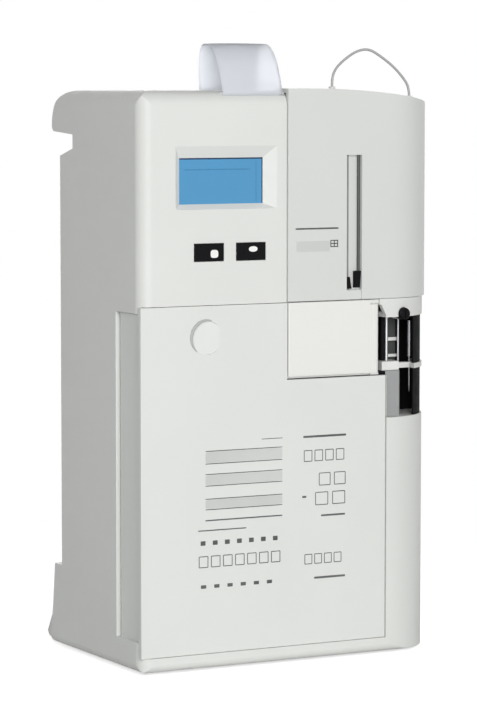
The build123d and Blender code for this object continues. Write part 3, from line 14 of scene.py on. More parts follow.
import bpy
import numpy as np
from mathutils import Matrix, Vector


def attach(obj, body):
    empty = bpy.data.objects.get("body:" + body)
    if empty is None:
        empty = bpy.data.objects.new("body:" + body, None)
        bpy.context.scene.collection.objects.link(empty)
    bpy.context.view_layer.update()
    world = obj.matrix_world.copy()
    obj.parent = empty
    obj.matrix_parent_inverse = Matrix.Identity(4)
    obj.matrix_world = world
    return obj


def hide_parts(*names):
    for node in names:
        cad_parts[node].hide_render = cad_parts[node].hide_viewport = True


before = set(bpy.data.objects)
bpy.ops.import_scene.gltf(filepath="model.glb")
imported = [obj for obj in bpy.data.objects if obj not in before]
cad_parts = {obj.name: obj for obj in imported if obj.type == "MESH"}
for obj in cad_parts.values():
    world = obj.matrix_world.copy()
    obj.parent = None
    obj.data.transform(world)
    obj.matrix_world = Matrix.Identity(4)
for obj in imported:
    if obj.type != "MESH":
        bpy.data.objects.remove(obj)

log = logging.getLogger("analyzer")

Point = tuple[float, float, float]
Colour = tuple[float, float, float]
Bar = tuple[float, float, float, float]
Object = bpy.types.Object
Tree = bpy.types.NodeTree
Socket = bpy.types.NodeSocket

# The cabinet's left side and front face in the row frame, and a millimetre, in metres.
LEFT = -0.1205
FRONT = -0.0935
MM = 0.001

# The outline power of a nearly square mark, and how many points go round each mark.
SQUARE = 14.0
MARK_POINTS = 24

# Detail of the finishes, in waves to the metre.
DRIFT_WAVES = 14.0
RUB_WAVES = 160.0
PEBBLE_WAVES = 1500.0
FINE_PEBBLE_WAVES = 2600.0
FIBRE_WAVES = 900.0
FLOW_WAVES = 120.0
BRUSH_WAVES = (40.0, 40.0, 4200.0)
SCREEN_WAVES = (30.0, 30.0, 2600.0)

# The copper under a board's green mask.
TRACK_COLOUR = (0.11, 0.30, 0.08)

# Where most of a noise texture's values lie.
NOISE_LOW = 0.3
NOISE_HIGH = 0.7


def cabinet(x: float, y: float, z: float) -> Point:
    """Turn a place on the cabinet into the row frame.

    Args:
        x: millimetres right of the left side.
        y: millimetres behind the front face.
        z: millimetres above the table.

    Returns:
        The same place in metres in the row frame.
    """
    return (LEFT + x * MM, FRONT + y * MM, z * MM)


def places(x: np.ndarray, y: np.ndarray, z: np.ndarray) -> np.ndarray:
    """Turn arrays of cabinet places into one array of points.

    Args:
        x: millimetres right of the left side.
        y: millimetres behind the front face.
        z: millimetres above the table.

    Returns:
        Points in metres in the row frame, with the coordinates on the last axis.
    """
    x, y, z = np.broadcast_arrays(x, y, z)
    return np.stack((LEFT + x * MM, FRONT + y * MM, z * MM), axis=-1)


def make_object(name: str, points: np.ndarray, faces: list[list[int]], smooth: bool = True) -> Object:
    """Put points and faces into a new object.

    Args:
        name: the object's name.
        points: an (n, 3) array of places in the row frame.
        faces: the point numbers of each face.
        smooth: whether it is smooth shaded.

    Returns:
        The linked object.
    """
    mesh = bpy.data.meshes.new(name)
    mesh.from_pydata(points.tolist(), [], faces)
    if smooth:
        mesh.polygons.foreach_set("use_smooth", np.ones(len(mesh.polygons), dtype=bool))
    mesh.update()
    made = bpy.data.objects.new(name, mesh)
    bpy.context.collection.objects.link(made)
    return made


def grid_faces(rows: int, columns: int, wrap: bool = False) -> np.ndarray:
    """Number the quads of a grid of points stored row by row.

    Args:
        rows: how many rows of points.
        columns: how many points in a row.
        wrap: whether the last column joins the first.

    Returns:
        An (m, 4) array of point numbers.
    """
    last = columns if wrap else columns - 1
    row, column = np.meshgrid(np.arange(rows - 1), np.arange(last), indexing="ij")
    after = (column + 1) % columns
    near = row * columns
    far = (row + 1) * columns
    return np.stack((near + column, near + after, far + after, far + column), axis=-1).reshape(-1, 4)


def raised_marks(name: str, bars: tuple[Bar, ...], depth: float, height: float, corner: float) -> Object:
    """Make many flat marks on a face that looks to the front.

    Each mark is a superellipse |u|^k + |v|^k = 1 scaled to its size, with a front and a side wall.

    Args:
        name: the object's name.
        bars: each mark's middle and size as x, z, width and height in millimetres.
        depth: where the marks' backs lie, in millimetres behind the front face.
        height: how far the marks stand out of that, in millimetres.
        corner: the power k; 2 gives an ellipse and more gives squarer corners.

    Returns:
        One object that holds all the marks.
    """
    values = np.array(bars)
    centres, sizes = values[:, :2], values[:, 2:]
    count = MARK_POINTS
    turn = np.linspace(0, 2 * np.pi, count, endpoint=False)
    unit = np.stack((np.cos(turn), np.sin(turn)), axis=-1)
    unit = np.sign(unit) * np.abs(unit) ** (2 / corner)
    ring = centres[:, None, :] + unit[None, :, :] * sizes[:, None, :] / 2
    back = places(ring[..., 0], np.full(ring.shape[:2], depth), ring[..., 1])
    front = places(ring[..., 0], np.full(ring.shape[:2], depth - height), ring[..., 1])
    middle = places(centres[:, 0], np.full(len(centres), depth - height), centres[:, 1])
    points = np.concatenate((back, front, middle[:, None, :]), axis=1).reshape(-1, 3)
    here = np.arange(count)
    after = (here + 1) % count
    wall = np.stack((here, after, count + after, count + here), axis=-1)
    cap = np.stack((count + here, count + after, np.full(count, 2 * count)), axis=-1)
    start = np.arange(len(centres))[:, None, None] * (2 * count + 1)
    walls = (wall[None] + start).reshape(-1, 4)
    caps = (cap[None] + start).reshape(-1, 3)
    return make_object(name, points, walls.tolist() + caps.tolist(), smooth=False)


class Pattern(Enum):
    """The kinds of surface detail."""

    GRAIN = "grain"
    BRUSHED = "brushed"
    TRACKS = "tracks"
    PAPER = "paper"
    SCREEN = "screen"
    CLEAR = "clear"


def new_group(name: str, inputs: dict[str, tuple[str, object]], outputs: dict[str, str]) -> Tree:
    """Start a shader node group.

    Args:
        name: the group's name.
        inputs: each input's socket type and default value.
        outputs: each output's socket type.

    Returns:
        The group with its input node named "in" and its output node named "out".
    """
    group = bpy.data.node_groups.new(name, "ShaderNodeTree")
    for label, (kind, value) in inputs.items():
        socket = group.interface.new_socket(label, in_out="INPUT", socket_type=kind)
        socket.default_value = value
    for label, kind in outputs.items():
        group.interface.new_socket(label, in_out="OUTPUT", socket_type=kind)
    group.nodes.new("NodeGroupInput").name = "in"
    group.nodes.new("NodeGroupOutput").name = "out"
    return group


def feed(tree: Tree, place: Socket, value: Socket | float) -> None:
    """Give an input a number, or link a socket to it.

    Args:
        tree: the tree that holds the input.
        place: the input.
        value: the number or the socket.
    """
    if isinstance(value, float):
        place.default_value = value
    else:
        tree.links.new(value, place)


def calculate(tree: Tree, operation: str, *values: Socket | float) -> Socket:
    """Add a math node.

    Args:
        tree: the tree that gets the node.
        operation: what the node does.
        values: its inputs in order.

    Returns:
        The result's socket.
    """
    node = tree.nodes.new("ShaderNodeMath")
    node.operation = operation
    for place, value in zip(node.inputs, values):
        feed(tree, place, value)
    return node.outputs[0]


def stretched(tree: Tree, vector: Socket, by: Socket | float) -> Socket:
    """Add a node that scales a vector or a colour by one number.

    Args:
        tree: the tree that gets the node.
        vector: what is scaled.
        by: the number.

    Returns:
        The scaled vector's socket.
    """
    node = tree.nodes.new("ShaderNodeVectorMath")
    node.operation = "SCALE"
    tree.links.new(vector, node.inputs[0])
    feed(tree, node.inputs["Scale"], by)
    return node.outputs["Vector"]


def blended(tree: Tree, factor: Socket, first: Socket | Colour, second: Colour) -> Socket:
    """Add a node that goes from one colour to another.

    Args:
        tree: the tree that gets the node.
        factor: 0 for the first colour and 1 for the second.
        first: the first colour, or the socket that gives it.
        second: the second colour.

    Returns:
        The blended colour's socket.
    """
    node = tree.nodes.new("ShaderNodeMix")
    node.data_type = "RGBA"
    tree.links.new(factor, node.inputs["Factor"])
    if isinstance(first, tuple):
        node.inputs["A"].default_value = (*first, 1.0)
    else:
        tree.links.new(first, node.inputs["A"])
    node.inputs["B"].default_value = (*second, 1.0)
    return node.outputs["Result"]


def noise(tree: Tree, vector: Socket, scale: float, detail: float) -> Socket:
    """Add a noise texture.

    Args:
        tree: the tree that gets the node.
        vector: the coordinates it reads.
        scale: waves to the metre.
        detail: how many finer layers it adds.

    Returns:
        The noise value's socket.
    """
    node = tree.nodes.new("ShaderNodeTexNoise")
    node.inputs["Scale"].default_value = scale
    node.inputs["Detail"].default_value = detail
    tree.links.new(vector, node.inputs["Vector"])
    return node.outputs["Fac"]


def ramp(
    tree: Tree,
    value: Socket,
    source: tuple[float, float],
    result: tuple[Socket | float, Socket | float],
    smooth: bool = False,
) -> Socket:
    """Map one range of a value on to another.

    Args:
        tree: the tree that gets the node.
        value: the value to map.
        source: the range's start and end.
        result: what the start and the end become.
        smooth: whether it eases in and out.

    Returns:
        The mapped value's socket.
    """
    node = tree.nodes.new("ShaderNodeMapRange")
    if smooth:
        node.interpolation_type = "SMOOTHSTEP"
    tree.links.new(value, node.inputs["Value"])
    for label, number in zip(("From Min", "From Max", "To Min", "To Max"), (*source, *result)):
        feed(tree, node.inputs[label], number)
    return node.outputs["Result"]


def spread(tree: Tree, value: Socket, low: float, high: float) -> Socket:
    """Map a noise value from its usual range on to a wanted one.

    Args:
        tree: the tree that gets the node.
        value: the value to map.
        low: the result for a low value.
        high: the result for a high value.

    Returns:
        The mapped value's socket.
    """
    return ramp(tree, value, (NOISE_LOW, NOISE_HIGH), (low, high))


def object_place(tree: Tree) -> Socket:
    """Give object coordinates.

    Args:
        tree: the tree that gets the node.

    Returns:
        The coordinates' socket.
    """
    return tree.nodes.new("ShaderNodeTexCoord").outputs["Object"]


def scaled(tree: Tree, by: Point) -> Socket:
    """Give object coordinates stretched along each axis.

    Args:
        tree: the tree that gets the nodes.
        by: the factor along X, Y and Z.

    Returns:
        The coordinates' socket.
    """
    mapping = tree.nodes.new("ShaderNodeMapping")
    mapping.inputs["Scale"].default_value = by
    tree.links.new(object_place(tree), mapping.inputs["Vector"])
    return mapping.outputs["Vector"]


def build_tone_group() -> Tree:
    """Build the shared tone: a colour that drifts a little over the surface, and its roughness.

    Returns:
        The group with the inputs Colour, Drift and Roughness and the outputs Colour and Roughness.
    """
    group = new_group(
        "surface_tone",
        {
            "Colour": ("NodeSocketColor", (0.8, 0.8, 0.8, 1.0)),
            "Drift": ("NodeSocketFloat", 0.04),
            "Roughness": ("NodeSocketFloat", 0.5),
        },
        {"Colour": "NodeSocketColor", "Roughness": "NodeSocketFloat"},
    )
    given, result = group.nodes["in"].outputs, group.nodes["out"].inputs
    vector = object_place(group)
    broad = spread(group, noise(group, vector, DRIFT_WAVES, 3.0), -1.0, 1.0)
    swing = calculate(group, "MULTIPLY_ADD", broad, given["Drift"], 1.0)
    group.links.new(stretched(group, given["Colour"], swing), result["Colour"])
    rub = spread(group, noise(group, vector, RUB_WAVES, 4.0), 0.86, 1.14)
    group.links.new(calculate(group, "MULTIPLY", rub, given["Roughness"]), result["Roughness"])
    return group


def build_grain_group() -> Tree:
    """Build the shared grain: the fine pebble of a textured mould.

    Returns:
        The group with the input Size and the output Height.
    """
    group = new_group("moulded_grain", {"Size": ("NodeSocketFloat", 1.0)}, {"Height": "NodeSocketFloat"})
    vector = stretched(group, object_place(group), group.nodes["in"].outputs["Size"])
    pebble = group.nodes.new("ShaderNodeTexVoronoi")
    pebble.feature = "SMOOTH_F1"
    pebble.inputs["Scale"].default_value = PEBBLE_WAVES
    group.links.new(vector, pebble.inputs["Vector"])
    fine = noise(group, vector, FINE_PEBBLE_WAVES, 2.0)
    both = calculate(group, "ADD", pebble.outputs["Distance"], fine)
    group.links.new(both, group.nodes["out"].inputs["Height"])
    return group


def build_brushed_group() -> Tree:
    """Build the shared brushing: long fine lines across a metal face.

    Returns:
        The group with the input Roughness and the outputs Height and Roughness.
    """
    group = new_group(
        "brushed_lines",
        {"Roughness": ("NodeSocketFloat", 0.35)},
        {"Height": "NodeSocketFloat", "Roughness": "NodeSocketFloat"},
    )
    given, result = group.nodes["in"].outputs, group.nodes["out"].inputs
    lines = noise(group, scaled(group, BRUSH_WAVES), 1.0, 5.0)
    group.links.new(lines, result["Height"])
    rub = calculate(group, "MULTIPLY", spread(group, lines, 0.75, 1.3), given["Roughness"])
    group.links.new(rub, result["Roughness"])
    return group


def build_tracks_group() -> Tree:
    """Build the shared circuit board: copper tracks under a green mask, as a brick grid of fine lines.

    Returns:
        The group with the input Colour and the outputs Colour and Height.
    """
    group = new_group(
        "board_tracks",
        {"Colour": ("NodeSocketColor", (0.02, 0.16, 0.06, 1.0))},
        {"Colour": "NodeSocketColor", "Height": "NodeSocketFloat"},
    )
    nodes, links = group.nodes, group.links
    split = nodes.new("ShaderNodeSeparateXYZ")
    flat = nodes.new("ShaderNodeCombineXYZ")
    links.new(object_place(group), split.inputs["Vector"])
    links.new(calculate(group, "ADD", split.outputs["X"], split.outputs["Y"]), flat.inputs["X"])
    links.new(split.outputs["Z"], flat.inputs["Y"])
    tracks = nodes.new("ShaderNodeTexBrick")
    tracks.inputs["Scale"].default_value = 90.0
    tracks.inputs["Mortar Size"].default_value = 0.035
    tracks.inputs["Brick Width"].default_value = 1.7
    tracks.inputs["Row Height"].default_value = 0.33
    links.new(flat.outputs["Vector"], tracks.inputs["Vector"])
    copper = blended(group, tracks.outputs["Fac"], nodes["in"].outputs["Colour"], TRACK_COLOUR)
    links.new(copper, nodes["out"].inputs["Colour"])
    links.new(tracks.outputs["Fac"], nodes["out"].inputs["Height"])
    return group


GROUPS = {
    "tone": build_tone_group(),
    "grain": build_grain_group(),
    "brushed": build_brushed_group(),
    "tracks": build_tracks_group(),
}


@dataclass(frozen=True)
class Finish:
    """One surface finish.

    Attributes:
        name: what the material is called.
        colour: its colour in linear light.
        roughness: how dull it is.
        pattern: the kind of detail it carries.
        metallic: 1 for metal.
        drift: how far its tone varies over the surface.
        depth: how high the detail stands, in metres.
        size: the detail's frequency against the usual.
        coat: a thin gloss over it.
        clear: how far light goes through.
        bend: its index of refraction.
        other: the colour right of the split, where one part holds two pieces.
        split: where that colour starts, in millimetres from the cabinet's left side.
    """

    name: str
    colour: Colour
    roughness: float
    pattern: Pattern = Pattern.GRAIN
    metallic: float = 0.0
    drift: float = 0.02
    depth: float = 0.00001
    size: float = 1.0
    coat: float = 0.0
    clear: float = 0.0
    bend: float = 1.46
    other: Colour | None = None
    split: float = 0.0

    def material(self) -> bpy.types.Material:
        """Build the material, or give it back if it is already made.

        Returns:
            The material with its node tree filled.
        """
        known = bpy.data.materials.get(self.name)
        if known is not None:
            return known
        made = bpy.data.materials.new(self.name)
        made.use_nodes = True
        made.diffuse_color = (*self.colour, 1.0)
        tree = made.node_tree
        shader = tree.nodes["Principled BSDF"]
        shader.inputs["Metallic"].default_value = self.metallic
        shader.inputs["IOR"].default_value = self.bend
        shader.inputs["Coat Weight"].default_value = self.coat
        shader.inputs["Coat Roughness"].default_value = 0.08
        shader.inputs["Transmission Weight"].default_value = self.clear
        tone = self._use(tree, "tone")
        tone.inputs["Drift"].default_value = self.drift
        tone.inputs["Roughness"].default_value = self.roughness
        tone.inputs["Colour"].default_value = (*self.colour, 1.0)
        tree.links.new(tone.outputs["Roughness"], shader.inputs["Roughness"])
        if self.other is not None:
            self._split_colour(tree, tone)
        height = self._detail(tree, tone, shader)
        tree.links.new(tone.outputs["Colour"], shader.inputs["Base Color"])
        bump = tree.nodes.new("ShaderNodeBump")
        bump.inputs["Distance"].default_value = self.depth
        tree.links.new(height, bump.inputs["Height"])
        tree.links.new(bump.outputs["Normal"], shader.inputs["Normal"])
        return made

    def _use(self, tree: Tree, group: str) -> bpy.types.Node:
        """Place a shared group in a material's tree.

        Args:
            tree: the material's tree.
            group: the group's key in GROUPS.

        Returns:
            The group's node.
        """
        node = tree.nodes.new("ShaderNodeGroup")
        node.node_tree = GROUPS[group]
        return node

    def _split_colour(self, tree: Tree, tone: bpy.types.Node) -> None:
        """Give the pieces right of the split their own colour.

        Args:
            tree: the material's tree.
            tone: the tone group in it.
        """
        axes = tree.nodes.new("ShaderNodeSeparateXYZ")
        tree.links.new(object_place(tree), axes.inputs["Vector"])
        beyond = calculate(tree, "GREATER_THAN", axes.outputs["X"], LEFT + self.split * MM)
        tree.links.new(blended(tree, beyond, self.colour, self.other), tone.inputs["Colour"])

    def _detail(self, tree: Tree, tone: bpy.types.Node, shader: bpy.types.Node) -> Socket:
        """Add the pattern's own nodes.

        Args:
            tree: the material's tree.
            tone: the tone group in it.
            shader: the Principled BSDF in it.

        Returns:
            The socket that feeds the bump's height.
        """
        if self.pattern is Pattern.BRUSHED:
            lines = self._use(tree, "brushed")
            lines.inputs["Roughness"].default_value = self.roughness
            tree.links.new(lines.outputs["Roughness"], shader.inputs["Roughness"])
            return lines.outputs["Height"]
        if self.pattern is Pattern.TRACKS:
            tracks = self._use(tree, "tracks")
            tracks.inputs["Colour"].default_value = (*self.colour, 1.0)
            tree.links.new(tracks.outputs["Colour"], tone.inputs["Colour"])
            return tracks.outputs["Height"]
        if self.pattern is Pattern.PAPER:
            return noise(tree, object_place(tree), FIBRE_WAVES, 6.0)
        if self.pattern is Pattern.SCREEN:
            return noise(tree, scaled(tree, SCREEN_WAVES), 1.0, 0.0)
        if self.pattern is Pattern.CLEAR:
            return noise(tree, object_place(tree), FLOW_WAVES, 2.0)
        grain = self._use(tree, "grain")
        grain.inputs["Size"].default_value = self.size
        return grain.outputs["Height"]


HOUSING = Finish("warm_grey_moulding", (0.700, 0.712, 0.686), 0.52, drift=0.012)
PACK = Finish("pack_moulding", (0.700, 0.716, 0.690), 0.5, drift=0.012)
COVER = Finish("cover_white", (0.775, 0.778, 0.745), 0.38, drift=0.01, depth=0.000004)
DOOR = Finish("door_white", (0.645, 0.660, 0.636), 0.34, drift=0.01, depth=0.000004)
BLACK = Finish("sampler_black", (0.010, 0.010, 0.011), 0.6, drift=0.1, bend=1.10)
KEY = Finish("key_black", (0.005, 0.005, 0.006), 0.3, drift=0.05, depth=0.000002, bend=1.18)
GREY = Finish("inner_grey", (0.34, 0.35, 0.35), 0.5, drift=0.04)
WHITE = Finish("inner_white", (0.78, 0.78, 0.76), 0.4, drift=0.02)
RUBBER = Finish("foot_rubber", (0.025, 0.025, 0.027), 0.85, drift=0.15, depth=0.00003, size=0.7)
STEEL = Finish("ground_steel", (0.46, 0.47, 0.48), 0.40, Pattern.BRUSHED, metallic=1.0, depth=0.000002)
PROBE = Finish("probe_steel", (0.30, 0.30, 0.31), 0.45, Pattern.BRUSHED, metallic=1.0, depth=0.000002)
PLATED = Finish("bright_plating", (0.72, 0.72, 0.70), 0.16, Pattern.BRUSHED, metallic=1.0, depth=0.000001)
CAST = Finish("motor_can", (0.50, 0.51, 0.52), 0.45, Pattern.BRUSHED, metallic=1.0, depth=0.000008)
BOARD = Finish(
    "green_board", (0.015, 0.13, 0.05), 0.35, Pattern.TRACKS, drift=0.06, depth=0.00004, coat=0.3
)
BOTTLE = Finish(
    "milky_bottle", (0.80, 0.82, 0.80), 0.45, Pattern.CLEAR, drift=0.03, depth=0.0001, coat=0.1
)
ACRYLIC = Finish("clear_acrylic", (0.90, 0.93, 0.95), 0.08, Pattern.CLEAR, depth=0.00002, clear=0.85)
TUBING = Finish("soft_tubing", (0.80, 0.81, 0.80), 0.25, Pattern.CLEAR, depth=0.00002, clear=0.25)
LINE = Finish("grey_line", (0.40, 0.41, 0.40), 0.32, Pattern.CLEAR, drift=0.03, depth=0.000001)
PAPER = Finish(
    "thermal_paper", (0.755, 0.775, 0.812), 0.9, Pattern.PAPER, depth=0.00002, clear=0.3, bend=1.05
)
GLASS = Finish(
    "display_blue", (0.055, 0.275, 0.520), 0.2, Pattern.SCREEN, drift=0.03, depth=0.000004, coat=0.5
)
# Painted shade: the dark blue of the shadow that the display pocket's rim casts along the glass's top and
# right edges.
PAINTED_SHADE = Finish("display_painted_shade", (0.006, 0.030, 0.085), 0.3, Pattern.SCREEN, drift=0.05, depth=0.000004)
FAINT = Finish("display_line", (0.045, 0.215, 0.400), 0.3, Pattern.SCREEN, drift=0.05, depth=0.000004)
INK = Finish("printed_grey", (0.085, 0.090, 0.088), 0.6, Pattern.PAPER, drift=0.5, depth=0.000004)
PALE_INK = Finish("printed_pale", (0.555, 0.570, 0.555), 0.6, Pattern.PAPER, drift=0.06, depth=0.000004)
SIGN = Finish("sign_white", (0.85, 0.85, 0.83), 0.5, Pattern.PAPER, drift=0.02, depth=0.000004)
# Painted shade: this grey on the scoop's lip stands for the shade that falls in the upper left of the
# thumb scoop.
SCOOP_SHADE = Finish("scoop_painted_shade", (0.44, 0.45, 0.43), 0.5, drift=0.05)
BAR_GREY = Finish("slider_grey", (0.085, 0.088, 0.088), 0.5, drift=0.08, bend=1.2)
DOOR_LINES = Finish(
    "door_lines",
    (0.22, 0.225, 0.215),
    0.4,
    drift=0.06,
    depth=0.000002,
    other=(0.060, 0.064, 0.060),
    split=164.4,
)

FINISHES: dict[str, Finish] = {
    "main_housing": HOUSING,
    "base_plate": GREY,
    "rubber_feet": RUBBER,
    "back_cover": HOUSING,
    "case_screws": STEEL,
    "pack_bay": GREY,
    "pack_front": PACK,
    "pack_body": PACK,
    "waste_bottle": BOTTLE,
    "standard_a_bottle": BOTTLE,
    "standard_b_bottle": BOTTLE,
    "pack_connector": BLACK,
    "lcd_window": GLASS,
    "lcd_module": BLACK,
    "display_board": BOARD,
    "key_left": KEY,
    "key_right": KEY,
    "sensor_bay": WHITE,
    "electrode_rack": GREY,
    "reference_electrode": ACRYLIC,
    "sodium_electrode": ACRYLIC,
    "potassium_electrode": ACRYLIC,
    "chloride_electrode": ACRYLIC,
    "sample_detector": BLACK,
    "clamp_screw": BLACK,
    "electrode_board": BOARD,
    "sensor_door": DOOR,
    "door_hinge_pins": STEEL,
    "door_tubes": DOOR_LINES,
    "door_tube_fittings": BLACK,
    "pump_bay": HOUSING,
    "pump_cover": COVER,
    "pump_rotor": WHITE,
    "pump_rollers": STEEL,
    "pump_motor": CAST,
    "pump_tube": TUBING,
    "valve_body": WHITE,
    "valve_rotor": GREY,
    "valve_motor": CAST,
    "sampler_liner": BLACK,
    "probe_motor": GREY,
    "probe_frame": BAR_GREY,
    "guide_rods": STEEL,
    "lead_screw": BLACK,
    "probe_carriage": WHITE,
    "probe_needle": PROBE,
    "sampler_knob": KEY,
    "printer_frame": BLACK,
    "platen_roller": RUBBER,
    "paper_roll": PAPER,
    "printer_lid": HOUSING,
    "main_board": BOARD,
    "power_supply": CAST,
    "power_inlet": BLACK,
    "switch_frame": BLACK,
    "power_switch": BLACK,
    "serial_port": PLATED,
    "tube_fittings": WHITE,
}


def paint(piece: Object, finish: Finish) -> None:
    """Give every material slot of a piece one finish.

    Args:
        piece: the object to paint.
        finish: what it is painted with.
    """
    material = finish.material()
    if not piece.material_slots:
        piece.data.materials.append(material)
    for place in piece.material_slots:
        place.material = material


def dress_frame() -> None:
    """Give each part of the frame its finish."""
    for node, finish in FINISHES.items():
        paint(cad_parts[node], finish)
        log.info("dressed %s in %s", node, finish.name)


@dataclass
class SampleTube:
    """The thin tube that leaves one fitting on the top, arches over and enters the other.

    Attributes:
        diameter: how thick it is, in metres.
        length: how long it is from fitting to fitting, in metres; not used.
        route: the points that its middle line is drawn to, in millimetres on the cabinet.
    """

    diameter: float = 0.0018
    length: float = 0.0884
    route: tuple[Point, ...] = (
        (162.2, 28.0, 396.93),
        (162.2, 28.0, 403.6),
        (165.8, 28.0, 410.2),
        (172.8, 28.0, 415.9),
        (180.9, 27.3, 421.2),
        (190.2, 25.6, 423.1),
        (199.8, 23.8, 417.2),
        (208.6, 22.2, 410.4),
        (215.0, 21.0, 403.4),
        (219.6, 20.1, 396.7),
        (219.8, 20.0, 390.36),
    )

    def build(self) -> Object:
        """Lay the tube along its route.

        Returns:
            The tube.
        """
        curve = bpy.data.curves.new("sample_tube_line", "CURVE")
        curve.dimensions = "3D"
        curve.bevel_depth = self.diameter / 2
        curve.bevel_resolution = 5
        curve.resolution_u = 16
        curve.use_fill_caps = True
        line = curve.splines.new("NURBS")
        line.points.add(len(self.route) - 1)
        points = np.array([(*cabinet(*place), 1.0) for place in self.route])
        line.points.foreach_set("co", points.ravel())
        line.order_u = 3
        line.use_endpoint_u = True
        tube = bpy.data.objects.new("sample_tube_line", curve)
        bpy.context.collection.objects.link(tube)
        paint(tube, LINE)
        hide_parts("sample_tube")
        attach(tube, "cabinet")
        log.info("sample tube laid")
        return tube


@dataclass
class PaperSlip:
    """The slip that comes up through the slot and curls over backwards.

    Attributes:
        left: its left edge, in millimetres from the cabinet's left side.
        width: how wide the paper is, in millimetres.
        curl: how far its middle bulges, in millimetres.
        bulge_start: where along the slip the bulge starts, as a share of its length.
        bulge_rise: the share over which the bulge grows.
        bulge_fall: the share over which it goes again, at the free end.
        thickness: how thick the paper is, in metres.
        steps: how many rows of points it has along its length.
        across: how many points it has across.
        line: the points of its side line as depth and height, in millimetres.
    """

    left: float = 64.0
    width: float = 46.0
    curl: float = 0.35
    bulge_start: float = 0.3
    bulge_rise: float = 0.2
    bulge_fall: float = 0.1
    thickness: float = 0.00012
    steps: int = 72
    across: int = 14
    line: tuple[tuple[float, float], ...] = (
        (9.75, 375.0),
        (9.6, 380.5),
        (6.9, 386.0),
        (4.1, 391.5),
        (5.6, 397.5),
        (8.9, 406.5),
        (13.6, 415.6),
        (20.6, 422.9),
        (28.6, 425.7),
        (35.0, 424.4),
        (38.5, 418.0),
        (39.2, 407.0),
        (38.6, 394.3),
    )

    def _curve(self, t: np.ndarray) -> np.ndarray:
        """Follow the slip's side line.

        Between two points the line is the cubic of Catmull and Rom, whose slope at each point is
        half the step between that point's neighbours.

        Args:
            t: places along the line from 0 to 1.

        Returns:
            The depth and height at each place, in millimetres.
        """
        key = np.array(self.line)
        padded = np.vstack((2 * key[0] - key[1], key, 2 * key[-1] - key[-2]))
        at = np.clip(t * (len(key) - 1), 0, len(key) - 1 - 1e-9)
        index = at.astype(int)
        s = (at - index)[:, None]
        a, b, c, d = (padded[index + k] for k in range(4))
        second = 2 * a - 5 * b + 4 * c - d
        third = 3 * b - a - 3 * c + d
        return 0.5 * (2 * b + (c - a) * s + second * s**2 + third * s**3)

    def build(self) -> Object:
        """Make the slip as a swept sheet.

        The surface is the side line moved across the paper's width; past the slot its middle bulges
        outwards by curl times (1 - u squared), where u runs from -1 to 1 across the paper.

        Returns:
            The slip.
        """
        t = np.linspace(0, 1, self.steps)
        side = self._curve(t)
        slope = np.gradient(side, axis=0)
        slope /= np.linalg.norm(slope, axis=1)[:, None]
        outward = np.stack((-slope[:, 1], slope[:, 0]), axis=-1)
        u = np.linspace(-1, 1, self.across)
        grown = np.clip((t - self.bulge_start) / self.bulge_rise, 0, 1)
        shrunk = np.clip((1 - t) / self.bulge_fall, 0, 1)
        bulge = self.curl * (grown * shrunk)[:, None] * (1 - u**2)[None, :]
        y = side[:, 0, None] + outward[:, 0, None] * bulge
        z = side[:, 1, None] + outward[:, 1, None] * bulge
        x = self.left + self.width * (u + 1) / 2
        points = places(np.broadcast_to(x, y.shape), y, z).reshape(-1, 3)
        faces = grid_faces(self.steps, self.across)[:, ::-1]
        slip = make_object("paper_slip", points, faces.tolist())
        solid = slip.modifiers.new("paper", "SOLIDIFY")
        solid.thickness = self.thickness
        solid.offset = 0.0
        paint(slip, PAPER)
        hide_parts("paper_strip")
        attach(slip, "cabinet")
        return slip


class Mark(Enum):
    """The kinds of generic printed mark."""

    LINE = "line"
    BAND = "band"
    DASHES = "dashes"
    BOXES = "boxes"


@dataclass(frozen=True)
class Row:
    """One row of print.

    Attributes:
        kind: what the row is made of.
        left: where it starts, in millimetres from the cabinet's left side.
        right: where it ends.
        middle: its height above the table.
        tall: how tall it is.
        count: how many dashes or boxes it holds.
    """

    kind: Mark
    left: float
    right: float
    middle: float
    tall: float
    count: int = 1


@dataclass(frozen=True)
class MarkSet:
    """One object of flat marks, with its finish and the body it rides on.

    Attributes:
        name: the object's name.
        finish: what it is painted with.
        slot: the name of its material slot; not used.
        body: the body it rides on.
        face: where the marks' backs lie, in millimetres behind the front face.
        proud: how far the marks stand out of that, in millimetres.
        bars: each mark's middle and size as x, z, width and height in millimetres.
        corner: the power of their outline; 2 gives an ellipse and more gives squarer corners.
    """

    name: str
    finish: Finish
    slot: str
    body: str
    face: float
    proud: float
    bars: tuple[Bar, ...]
    corner: float = SQUARE

    def build(self) -> Object:
        """Make the marks.

        Returns:
            The object that holds them all.
        """
        piece = raised_marks(self.name, self.bars, self.face, self.proud, self.corner)
        paint(piece, self.finish)
        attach(piece, self.body)
        log.info("%s made of %d marks", self.name, len(self.bars))
        return piece
